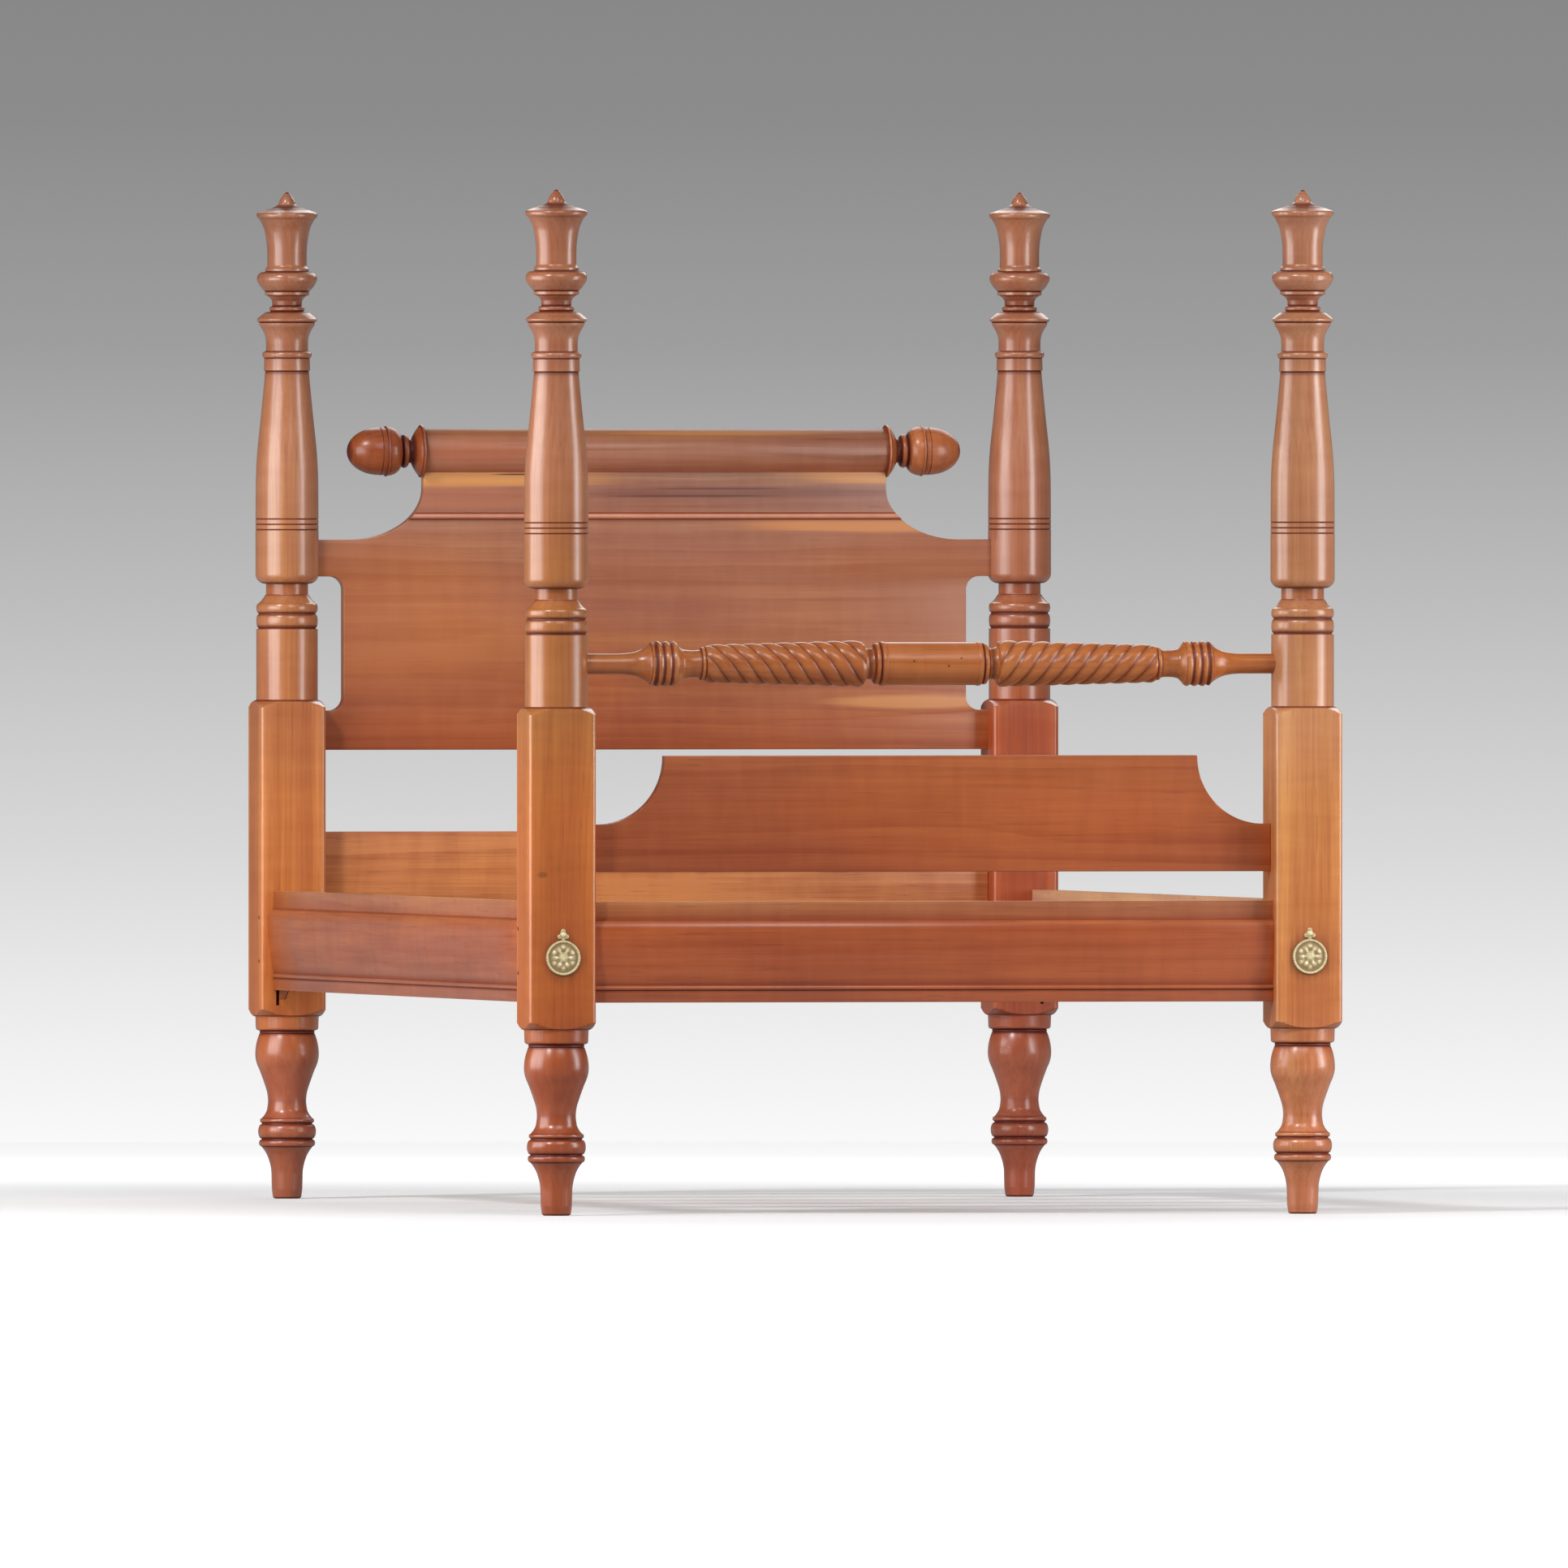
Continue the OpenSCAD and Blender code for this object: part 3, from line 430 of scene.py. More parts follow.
def wood(name, base, seed, along="X", contrast=1.0, rings=0.5, ring_step=0.005, pith=(0.06, 0.05),
         streaks=0.5, blotches=0.5, flecks=0.5, gold=0.4, gloss=0.34, coat=0.35, saw=0.0, marks=()):
    """Timber with growth rings round a pith, streaks, flecks and pores, all running along an axis.

    base is one colour, or stops (height in metres, colour). gold is how much pale sapwood shows.
    marks are spots or bands (centre, radii, colour, strength) in metres."""
    s = Shader(name)
    place = s.place()
    unmoved = s.add("Mapping", Vector=place, Rotation=GRAIN_TURN[along]).outputs[0]
    grain = s.vector("ADD", unmoved, (0.37 * seed, 0.71 * seed, 1.3 * seed))

    def pattern(scale, **settings):
        return s.noise(s.vector("MULTIPLY", grain, scale), **settings)

    # Growth rings
    flat = s.vector("MULTIPLY", unmoved, (1, 1, 0))
    radius = s.vector("LENGTH", s.vector("SUBTRACT", flat, (*pith, 0)))
    for scale, sway in (((5, 5, 0.9), 0.055), ((26, 26, 2.2), 0.006)):
        radius = s.plus(radius, pattern(scale, detail=2), sway)
    ring = s.math("FRACT", s.math("DIVIDE", radius, ring_step))
    late = s.math("MULTIPLY", s.span(ring, 0.25, 0.92), s.span(ring, 1.0, 0.93))

    # Streaks, pores and cloudiness
    streak = pattern((85, 85, 1.6), detail=5, rough=0.68)
    band = pattern((24, 24, 0.8), detail=3, rough=0.62, distortion=0.3)
    fibre = pattern((420, 420, 7), detail=3, rough=0.6)
    cloud = pattern((7, 7, 2.0), detail=3, rough=0.55)
    curl = pattern((11, 11, 42), detail=2, distortion=0.4)
    sapwood = s.span(pattern((19, 19, 0.9), detail=3, rough=0.6), 0.54, 0.70)
    veil = s.span(pattern((13, 13, 1.3), detail=2, distortion=0.4), 0.52, 0.72)
    fleck = s.span(pattern((230, 230, 13), detail=1), 0.67, 0.74)

    tone = s.plus(0.5, late, -0.42 * rings, 0.45)
    for part, gain in ((streak, 3.5 * streaks), (band, 2.6 * streaks), (fibre, 1.0),
                       (curl, 1.6 * blotches), (cloud, 2.6 * blotches)):
        tone = s.plus(tone, part, gain, 0.5)

    if isinstance(base[0], (int, float)):
        ground = linear(base)
    else:
        ground = s.ramp(s.plus(s.add("SeparateXYZ", Vector=place).outputs[2], cloud, 0.05, 0.5), base)
    dark = [1 - contrast * c for c in (0.20, 0.34, 0.42)]
    pale = [1 + contrast * c for c in (0.17, 0.27, 0.33)]
    colour = s.tint(tone, s.vector("MULTIPLY", ground, dark), [p / d for p, d in zip(pale, dark)])
    drift = pattern((3.4, 3.4, 1.7), detail=2, distortion=0.5)
    for part, strength, gain in (
            (s.span(drift, 0.5, 0.68), blotches, (1.22, 1.22, 0.94)),
            (s.span(drift, 0.5, 0.34), blotches, (0.82, 0.78, 1.0)),
            (sapwood, gold, (1.26, 1.52, 1.22)),
            (veil, 0.8 * gold, (0.84, 0.76, 0.92))):
        colour = s.tint(part, colour, gain, strength)
    colour = s.mix(fleck, colour, (84, 42, 24), 0.55 * flecks)

    for centre, radii, tint, strength in marks:
        away = s.vector("LENGTH", s.vector("DIVIDE", s.vector("SUBTRACT", place, centre), radii))
        colour = s.mix(s.span(s.plus(away, streak, 0.9, 0.5), 1.0, 0.45), colour, tint, strength)

    groove, crest, hollow, flat = (s.attribute(mark) for mark in ("groove", "crest", "hollow", "flat"))
    # Painted shade: broad coves and necks are darkened where shade falls in them.
    colour = s.tint(hollow, colour, (0.68, 0.42, 0.30), 0.7)
    # Narrow grooves and scored lines are darkened: painted shade, with some grime.
    colour = s.tint(groove, colour, (0.40, 0.20, 0.14))
    # Ridges, bead tops and the block's rounded edges are paled: a painted highlight, with some wear.
    colour = s.tint(crest, colour, (1.26, 1.46, 1.62), 0.7)

    # Gloss and the feel of the surface
    roughness = s.plus(gloss - 0.07, pattern((30, 30, 12), detail=3), 0.14)
    roughness = s.plus(s.plus(roughness, groove, 0.25), flat, 0.12, clamp=True)
    dull = s.math("MAXIMUM", s.math("MAXIMUM", groove, flat), s.math("MULTIPLY", hollow, 0.7))
    polish = s.math("MULTIPLY", s.span(dull, 0, 1, coat, 0.15 * coat, "LINEAR"),
                    s.span(streak, 0.3, 0.7, 0.6, 1.4))
    height = s.plus(s.math("MULTIPLY", fibre, 0.35), streak, 0.5)
    if saw:
        cuts = pattern((9, 9, 330), detail=2, rough=0.7)
        height = s.plus(height, cuts, 1.6 * saw)
        colour = s.tint(s.span(cuts, 0.55, 0.75), colour, (0.70, 0.62, 0.56), 0.35 * saw)
    return s.finish(Base_Color=colour, Roughness=roughness, Normal=s.bump(height, 0.35, 0.0004),
                    Coat_Weight=polish, Coat_Roughness=0.24, IOR=1.5, Specular_IOR_Level=0.5)


def steel():
    """Dull zinc-coated plate."""
    s = Shader("galvanised_steel")
    spangle = s.noise(s.place(), 180, detail=3, rough=0.7)
    stain = s.span(s.noise(s.place(), 45, detail=3), 0.52, 0.72)
    colour = s.mix(spangle, (150, 152, 154), (196, 198, 198))
    colour = s.mix(stain, colour, (120, 96, 76), 0.35)
    roughness = s.span(spangle, 0.2, 0.8, 0.36, 0.58, "LINEAR")
    return s.finish(Base_Color=colour, Metallic=0.9, Roughness=roughness,
                    Normal=s.bump(spangle, 0.15, 0.0002))


def brass():
    """Pale stamped brass, brown where the polish does not reach."""
    s = Shader("pale_brass")
    patch = s.noise(s.place(), 160, detail=3, rough=0.6)
    groove = s.attribute("groove")
    colour = s.mix(groove, s.mix(patch, (255, 232, 160), (255, 250, 214)), (124, 82, 36), 0.9)
    roughness = s.plus(s.span(patch, 0.2, 0.8, 0.20, 0.36, "LINEAR"), groove, 0.25)
    return s.finish(Base_Color=colour, Metallic=0.2, Roughness=roughness,
                    Normal=s.bump(patch, 0.25, 0.0002))


# The posts' colours at these heights in metres, from redder feet to paler tops. The paler tops are partly the
# wood's own tone and partly painted light falling from above.
TONE_HEIGHTS = (0.0, 0.20, 0.31, 0.60, 0.74, 0.95, 1.1, 1.5)
RED_BLOCK_HEIGHTS = (0.0, 0.20, 0.31, 0.70, 0.78, 0.95, 1.1, 1.5)
POST_TONES = {
    (LEFT, FOOT): [*zip(TONE_HEIGHTS, (
        (161, 76, 34), (160, 72, 34), (187, 94, 32), (193, 103, 40), (178, 106, 50), (176, 106, 54),
        (182, 116, 78), (170, 101, 63)))],
    (RIGHT, FOOT): [*zip(TONE_HEIGHTS, (
        (200, 118, 78), (208, 126, 80), (206, 120, 60), (202, 125, 66), (198, 129, 84), (180, 117, 78),
        (182, 122, 86), (188, 124, 84)))],
    (LEFT, HEAD): [*zip(TONE_HEIGHTS, (
        (158, 80, 48), (178, 92, 58), (199, 108, 44), (204, 121, 58), (183, 108, 60), (182, 116, 72),
        (186, 122, 84), (162, 102, 72)))],
    (RIGHT, HEAD): [*zip(RED_BLOCK_HEIGHTS, (
        (189, 93, 60), (188, 100, 68), (173, 78, 37), (169, 73, 29), (180, 102, 60), (182, 112, 72),
        (186, 118, 80), (172, 108, 76)))],
}


def furnish(piece, node, *materials, body="bed_ends", slot="board_cherry"):
    """Materials, body and CAD node of a finished piece. slot is not used."""
    piece.data.materials.clear()
    for material in materials:
        piece.data.materials.append(material)
    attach(piece, body)
    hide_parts(node)


# ---- posts

def square_reach(angle):
    """Distance from the post's axis to the face of its square block."""
    c, s = sorted((abs(math.cos(angle)), abs(math.sin(angle))), reverse=True)
    if POST_HALF * s / c <= POST_FLAT:
        return POST_HALF / c
    along = POST_FLAT * (c + s)
    return along + math.sqrt(along ** 2 - 2 * POST_FLAT ** 2 + POST_CORNER ** 2)


def post_angles():
    """Even steps, and finer ones over the block's rounded corners."""
    corner = [math.atan2(POST_FLAT + POST_CORNER * math.sin(b), POST_FLAT + POST_CORNER * math.cos(b))
              for b in np.linspace(0, math.pi / 2, 8)]
    fine = [a + q * math.pi / 2 for q in range(4) for a in corner]
    even = [a for a in even_angles(80) if min(abs(a - f) for f in fine) > math.radians(1.5)]
    return sorted(even + fine)


def at_post(side, end, x, y, z):
    """World place of a point given outwards, towards the bed's middle, and up from a post's foot."""
    return (side * (POST_X + x), END_Y[end] - end * y, z)


def post_mortises(end):
    """Reach, Y, half thickness, lowest and highest point of what is let into a post from the boards."""
    reach = POST_INNER + 32
    if end == FOOT:
        return (reach, foot_rail_y - rail_base_depth / 2, 7, 321, rail_top - 9), (reach, FOOT_Y, 7, 512, 564)
    return ((reach, HEAD_Y, 7, 415, 539), (reach - 2, HEAD_Y, 11, 670, 729),
            (reach - 2, HEAD_Y, 11, 929, 984))


PATCH_EDGE = 21.5


def patch_outline(gap=0.0):
    """The repair patch's slanting outline, drawn in by gap along the crack."""
    return [(PATCH_EDGE, 434), (gap - 4.9, 434), (gap + 3, 321), (gap + 12, 298), (PATCH_EDGE, 298)]


def prism(name, outline, to_world, near, far):
    """An outline given in a plane, extruded from near to far."""
    return ring_piece(name, [[to_world(u, d, v) for u, v in outline] for d in (near, far)])


def make_post(side, end):
    name = f"post_{'foot' if end == FOOT else 'head'}_{SIDES[side]}"
    path = cut_path(post_cuts, 16.5)
    angles = post_angles()
    square = [square_reach(a) for a in angles]
    rings = [[(side * POST_X + min(r, q) * math.cos(a), END_Y[end] + min(r, q) * math.sin(a), z)
              for a, q in zip(angles, square)] for r, z in path]
    post = ring_piece(name + "_turned", rings)

    cutters = [box_piece(at_post(side, end, 21.5, 10, 289), at_post(side, end, 26.5, 51, 458))]
    for reach, y, half, low, high in post_mortises(end):
        cutters.append(box_piece((side * reach, y - half, low), (0, y + half, high)))
    if end == FOOT:
        face = FOOT_Y - POST_HALF
        for depth, radius in ((102, 6.5), (20, 14)):
            cutters.append(rod_piece((side * POST_X, face - 1, cover_z),
                                     (side * POST_X, face + depth, cover_z), radius))
        cutters.append(rod_piece((side * 505, FOOT_Y, blanket_z), (side * 551, FOOT_Y, blanket_z), 15.08))
    if (side, end) == (LEFT, HEAD):
        cutters.append(prism("cutter", patch_outline(), lambda u, d, v: at_post(side, end, u, d, v), 42, 51))
    carve(post, cutters)
    smooth(post)

    centre = (side * POST_X, END_Y[end], 0)
    paint_turning(post, path, centre, (0, 0, 1))
    local = coordinates(post) - np.array(centre)
    across = np.sort(np.abs(local[:, :2]))
    # corner marks the block's rounded long edges, where the material paints a highlight, with some wear.
    corner = np.clip((np.hypot(local[:, 0], local[:, 1]) - 57) / 7, 0, 1)
    ridge = np.array([v.value for v in post.data.attributes["crest"].data])
    paint(post, flat=np.clip((across[:, 1] - 49.2) / 0.7, 0, 1) * np.clip((46 - across[:, 0]) / 3, 0, 1),
          crest=np.maximum(corner, ridge))

    marks = []
    if end == FOOT:
        halo = (side * POST_X * MM, (FOOT_Y - POST_HALF) * MM, cover_z * MM)
        marks.append((halo, (0.041, 0.02, 0.043), (120, 62, 30), 0.55))
        if side == LEFT:
            marks.append(((-0.590, halo[1], 0.4995), (0.010, 0.02, 0.006), (120, 62, 30), 0.6))
    else:
        slot = (side * 0.583, (HEAD_Y - POST_HALF) * MM, 0.38)
        marks.append((slot, (0.012, 0.02, 0.11), (96, 50, 30), 0.5))
    seed = 1 + 2 * (side == RIGHT) + (end == HEAD)
    furnish(post, name, wood(
        name, POST_TONES[side, end], seed, "Z", contrast=0.8, rings=0.35, ring_step=0.0062,
        pith=(side * (POST_X + 70) * MM, (END_Y[end] + 40) * MM), streaks=0.45,
        flecks=0.3, gold=0.35, gloss=0.33, coat=0.8, marks=marks), slot="turned_cherry")


for side in SIDES:
    for end in (FOOT, HEAD):
        make_post(side, end)

CRACK = 0.9
patch = prism("post_patch_wedge", patch_outline(CRACK),
              lambda u, d, v: at_post(LEFT, HEAD, u, d, v), 42, 50.05)
smooth(ease(patch, 0.7, 2))
furnish(patch, "post_patch", wood(
    "patch", (176, 96, 52), 9, "Z", contrast=0.9, streaks=0.6, flecks=0.8, gloss=0.4), slot="block_cherry")


# ---- boards

def arc(centre, size, start, stop, steps=24):
    turns = [math.radians(start + (stop - start) * k / steps) for k in range(steps + 1)]
    return [(centre[0] + size[0] * math.cos(a), centre[1] + size[1] * math.sin(a)) for a in turns]


def mirrored(points):
    return points + [(-x, z) for x, z in reversed(points)]


def upright(name, outline, y, thickness, edge):
    """A board from its outline in X and Z, with eased edges."""
    piece = prism(name, outline, lambda x, d, z: (x, d, z), y - thickness / 2, y + thickness / 2)
    return smooth(ease(piece, edge, 3, 50))


def tenon_pieces(reach, y, half, low, high):
    return [box_piece((side * POST_INNER, y - half, low), (side * reach, y + half, high)) for side in SIDES]


gap_edge, gap_corner = 475, 20
notch = gap_edge + gap_corner
headboard_half = [
    (POST_INNER + 30, 670), (POST_INNER + 30, 729),
    *arc((notch, 749), (gap_corner,) * 2, 270, 180), *arc((notch, 909), (gap_corner,) * 2, 180, 90),
    (POST_INNER + 30, 929), (POST_INNER + 30, 984),
    *arc(scoop_centre, scoop_size, 270, 180, 48), (scoop_centre[0] - scoop_size[0], crest_seat),
]
head_face = HEAD_Y - board_thickness / 2
# Pale sapwood, cloudy patches and dark lines: x, z, half width, half height, colour and strength
HEADBOARD_MARKS = [
    (-0.32, 1.079, 0.34, 0.023, (214, 148, 86), 0.95),
    (-0.30, 1.045, 0.22, 0.026, (186, 112, 76), 0.5),
    (0.44, 0.92, 0.24, 0.12, (160, 88, 54), 0.5),
    (0.37, 1.081, 0.20, 0.018, (214, 148, 86), 0.9),
    (0.34, 1.006, 0.30, 0.016, (214, 140, 82), 0.8),
    (-0.21, 1.0815, 0.05, 0.0016, (70, 34, 22), 0.9),
    (0.12, 1.055, 0.28, 0.012, (122, 78, 66), 0.5),
    (-0.42, 0.88, 0.30, 0.16, (206, 120, 64), 0.25),
    (-0.02, 0.93, 0.34, 0.11, (156, 98, 84), 0.3),
    (0.05, 1.049, 0.16, 0.0018, (84, 48, 44), 0.7),
    (0.10, 1.060, 0.12, 0.0014, (84, 48, 44), 0.6),
    (0.40, 0.741, 0.17, 0.013, (214, 146, 84), 0.7),
]
headboard = upright("headboard", mirrored(headboard_half), HEAD_Y, board_thickness, 1.6)
furnish(headboard, "headboard_panel", wood(
    "headboard", [(0.67, (161, 79, 40)), (0.80, (168, 96, 56)), (0.92, (173, 107, 70)),
                  (1.01, (165, 107, 80)), (1.04, (153, 101, 84)), (1.09, (151, 101, 85))],
    11, contrast=0.75, rings=0.9, ring_step=0.017, pith=(0.83, HEAD_Y * MM + 0.11),
    streaks=0.4, flecks=0.35, gold=0.55, gloss=0.36, marks=[
        ((x, head_face * MM, z), (wide, 0.05, high), colour, strength)
        for x, z, wide, high, colour, strength in HEADBOARD_MARKS]))


def scoop_edge(z):
    """Half the board's width at a height in the scoops."""
    rise = min(1.0, abs((z - scoop_centre[1]) / scoop_size[1]))
    return scoop_centre[0] - scoop_size[0] * math.sqrt(1 - rise ** 2)


fillet = ("line", head_bead_fillet, head_bead_fillet)
bead_path = cut_path([fillet, ("bead", head_bead_width - 2 * head_bead_fillet, head_bead_depth), fillet],
                     head_bead_fillet)
bead_low = head_bead_z - head_bead_width / 2
bead_ring = [(0, bead_low)] + [(r, bead_low + z) for r, z in bead_path] + [(0, bead_low + head_bead_width)]
bead = ring_piece("headboard_astragal", [
    [(share * scoop_edge(z), head_face - depth, z) for depth, z in bead_ring]
    for share in (-1, -0.5, 0, 0.5, 1)])
smooth(bead, 35)
depth = head_face - coordinates(bead)[:, 1]
# Painted shade where the bead meets the board, and a painted highlight along the bead's top.
paint(bead, groove=np.clip(1 - (depth - 1.5) / 2.4, 0, 1), crest=np.clip((depth - 3.6) / 1.8, 0, 1))
furnish(bead, "headboard_bead", wood(
    "astragal", (204, 132, 98), 12, contrast=0.7, rings=0.2, flecks=0.3, gloss=0.32))

crest = ring_piece("crest_roll_turned", [
    [(x, HEAD_Y + q * u, crest_z + q * v) for u, v in circle(crest_radius, 120)]
    for x, q in ((-crest_half, 0.985), (-352.2, 1), (0, 1), (352.2, 1), (crest_half, 0.985))])
carve(crest, [box_piece((-400, HEAD_Y - 11, 1000), (400, HEAD_Y + 11, crest_seat))])
smooth(crest, 35)
# The roll's colour by height is paler along its underside: painted light where the round roll falls into
# shade.
furnish(crest, "crest_roll", wood(
    "crest_roll", [(1.085, (184, 112, 80)), (1.105, (162, 104, 78)), (1.128, (153, 97, 75)),
                   (1.146, (149, 90, 56))], 13, contrast=0.85, ring_step=0.008,
    pith=(crest_z * MM + 0.03, HEAD_Y * MM + 0.05), blotches=0.4, gloss=0.42,
    coat=0.1, marks=[
        ((-0.27, (HEAD_Y - 25) * MM, 1.115), (0.16, 0.03, 0.03), (172, 92, 54), 0.5),
        ((0.12, (HEAD_Y - 25) * MM, 1.143), (0.24, 0.02, 0.005), (190, 126, 66), 0.7)]))

for side, word in SIDES.items():
    start = (side * (crest_half - acorn_dowel_length), HEAD_Y, crest_z)
    path = cut_path(acorn_cuts, acorn_dowel_radius)
    acorn = turned_piece(f"acorn_{word}_turned", path, lambda u, v, w: (
        start[0] + side * w, start[1] + u, start[2] + v), 96)
    smooth(acorn)
    paint_turning(acorn, path, start, (side, 0, 0))
    furnish(acorn, f"acorn_{word}", wood(
        f"acorn_{word}", (144, 69, 31) if side == LEFT else (176, 100, 58), 14 + side,
        contrast=0.9, rings=0.6, ring_step=0.006, pith=(crest_z * MM + 0.015, HEAD_Y * MM + 0.03),
        streaks=0.4, flecks=0.4, gloss=0.33, coat=0.3))

stretcher = upright("head_stretcher_board", mirrored([(POST_INNER, 406), (POST_INNER, 548)]), HEAD_Y, 26, 2.0)
stretcher = smooth(join("head_stretcher_joined", [stretcher, *tenon_pieces(*post_mortises(HEAD)[0])]))
furnish(stretcher, "head_stretcher", wood(
    "head_stretcher", (190, 114, 65), 17, contrast=1.15, rings=1.0, ring_step=0.024,
    pith=(0.47, HEAD_Y * MM + 0.06), gloss=0.38))

footboard_half = [(POST_INNER, 503), (POST_INNER, 573), *arc((497, 671), (98, 98), 270, 180, 40),
                  (399, 673.5)]
footboard = upright("footboard_board", mirrored(footboard_half), FOOT_Y, board_thickness, 1.6)
footboard = smooth(join("footboard_joined", [footboard, *tenon_pieces(*post_mortises(FOOT)[1])]))
furnish(footboard, "footboard_panel", wood(
    "footboard", [(0.50, (167, 81, 39)), (0.60, (170, 86, 44)), (0.68, (172, 91, 49))], 19,
    contrast=0.8, rings=0.9, ring_step=0.016, pith=(0.60, FOOT_Y * MM + 0.09), streaks=0.4,
    blotches=0.45, flecks=0.4, gloss=0.36))


# ---- moulded rails

rail_path = cut_path(rail_cuts, rail_base_depth)
rail_ring = [(0, 0), *rail_path, (0, rail_path[-1][1])]


def moulding(name, to_world, stations):
    """The rails' section, drawn at each station along the rail."""
    piece = ring_piece(name, [[to_world(d, at, rail_bottom + z) for d, z in rail_ring] for at in stations])
    ease(piece, 0.45, 2, 48)
    smooth(piece, 28)
    return piece


def paint_moulding(piece, depth):
    """Marks the grooves and ridges of a rail's face, given how far out each point lies, where the material
    paints shade and highlights.
    """
    groove, crest, _ = relief_at(rail_path, coordinates(piece)[:, 2] - rail_bottom, depth)
    face = np.clip((depth - 12) / 4, 0, 1)
    paint(piece, groove=0.7 * groove * face, crest=crest * face)


foot_rail = moulding("foot_rail_moulded", lambda d, at, z: (at, foot_rail_y - d, z),
                     (-POST_INNER, 0, POST_INNER))
foot_rail = smooth(join("foot_rail_joined", [foot_rail, *tenon_pieces(*post_mortises(FOOT)[0])]), 28)
paint_moulding(foot_rail, foot_rail_y - coordinates(foot_rail)[:, 1])
furnish(foot_rail, "foot_rail", wood(
    "foot_rail", [(0.31, (164, 86, 55)), (0.34, (182, 89, 41)), (0.42, (181, 87, 38)),
                  (0.44, (181, 99, 53)), (0.46, (182, 110, 66))], 23, contrast=0.8,
    ring_step=0.013, pith=(0.35, foot_rail_y * MM + 0.05), streaks=0.45, blotches=0.45, flecks=0.4, coat=0.6))


def screw_piece(length):
    """A slotted countersunk screw that points along +Z from the origin."""
    profile = [(0.3, 0.02), (4.5, 0.02), (4.6, 0.12), (2.3, 3), (2.2, 3), (2.2, length)]
    body = turned_piece("cutter", profile, lambda u, v, w: (u, v, w), 28)
    return smooth(carve(body, [box_piece((-6, -0.45, -1), (6, 0.45, 1.1))]))


def screw_set(name, places, length):
    """Screws at places given as (x, y, z), each driven outwards with its slot turned at random."""
    turns = np.random.default_rng(7).uniform(0, math.pi, len(places))
    screws = []
    for (x, y, z), turn in zip(places, turns):
        screw = screw_piece(length)
        aim = Matrix.Rotation(math.copysign(math.pi / 2, x), 4, "Y") @ Matrix.Rotation(turn, 4, "Z")
        screw.data.transform(Matrix.Translation((x * MM, y * MM, z * MM)) @ aim)
        screws.append(screw)
    return smooth(join(name, screws))


def screw_holes(side, places):
    """Cutters for the heads of screws at places on a rail's inner face."""
    return [rod_piece((x - side, y, z), (x + side * 3, y, z), 4.65) for x, y, z in places]


galvanised = steel()
rail_from, rail_to = FOOT_Y + POST_HALF + 0.3, HEAD_Y - POST_HALF - 0.3
plate_places = ((18, 350), (42, 408))
ledger_pitch = (1914 - 4 * 34) / 6
RAIL_LOOKS = {
    "outside": dict(base=[(0.31, (164, 86, 54)), (0.40, (182, 90, 44)), (0.46, (184, 104, 58))],
                    contrast=0.85, ring_step=0.014, streaks=0.45, flecks=0.4),
    "inside": dict(base=(208, 156, 118), contrast=0.55, ring_step=0.012, streaks=0.45, blotches=0.4,
                   flecks=0.4, gloss=0.72, coat=0.0, saw=1.0),
    "edge": dict(base=(196, 140, 84), contrast=0.9, ring_step=0.006, streaks=0.4, blotches=0.8,
                 flecks=0.6, gloss=0.5, coat=0.1, saw=0.8),
}

for side, word in SIDES.items():
    body = f"side_rail_{word}"
    inner = side * rail_inner_x
    stations = np.linspace(rail_from, rail_to, 9)
    rail = moulding(f"{body}_moulded", lambda d, at, z: (inner + side * d, at, z), stations)
    kerf = side * (POST_X + rail_offset)
    ledger_places = [(side * (rail_inner_x - 25), rail_from + 68 + i * ledger_pitch, rail_bottom + 18.5)
                     for i in range(7)]
    hook_places = [(inner, y, z) for inset, z in plate_places
                   for y in (rail_from + inset, rail_to - inset)]
    cutters = [box_piece((kerf - 1.5, y0, 330), (kerf + 1.5, y1, 434))
               for y0, y1 in ((rail_from - 5, rail_from + 60), (rail_to - 60, rail_to + 5))]
    carve(rail, cutters + screw_holes(side, hook_places))
    smooth(rail, 28)
    paint_moulding(rail, side * coordinates(rail)[:, 0] - rail_inner_x)
    looks = [wood(f"{body}_{part}", along="Y", seed=29 + side,
                  pith=(side * 0.64, -0.50 if part == "edge" else -0.36), **look)
             for part, look in RAIL_LOOKS.items()]
    furnish(rail, body, *looks, body=body)
    for face in rail.data.polygons:
        on_top = face.normal.z > 0.9 and face.center.z > 0.455
        face.material_index = 1 if face.normal.x * side < -0.7 else 2 if on_top else 0

    length = rail_to - rail_from - 68
    half_round = arc((0, 25), (25, 25), 180, 270, 14)
    outline = half_round + [(0, length)] + [(u, length - v) for u, v in reversed(half_round)][1:]
    strip = ring_piece(f"ledger_{word}_strip", [
        [(side * (rail_inner_x + u), rail_from + 34 + v, rail_bottom + 6 + h) for u, v in outline]
        for h in (0, 25)])
    ease(strip, 1.3, 2, 35)
    carve(strip, screw_holes(side, ledger_places))
    smooth(strip)
    furnish(strip, f"ledger_{word}", wood(
        f"ledger_{word}", (204, 158, 134), 41 + side, "Y", contrast=0.9, rings=0.8, ring_step=0.007,
        pith=(side * 0.60, -0.30), streaks=0.6, blotches=0.7, flecks=0.8, gloss=0.75, coat=0.0, saw=0.7,
        marks=[((side * 0.543, y, 0.331), (0.006, 0.011, 0.008), (92, 56, 40), 0.9)
               for y in (-0.52, 0.11, 0.66)]), body=body, slot="raw_rail")

    for part, places, reach in (("ledger_screws", ledger_places, 38), ("hook_screws", hook_places, 21)):
        screws = screw_set(f"{part}_{word}_slotted", places, reach)
        furnish(screws, f"{part}_{word}", galvanised, body=body, slot="hook_steel")


# ---- blanket rail

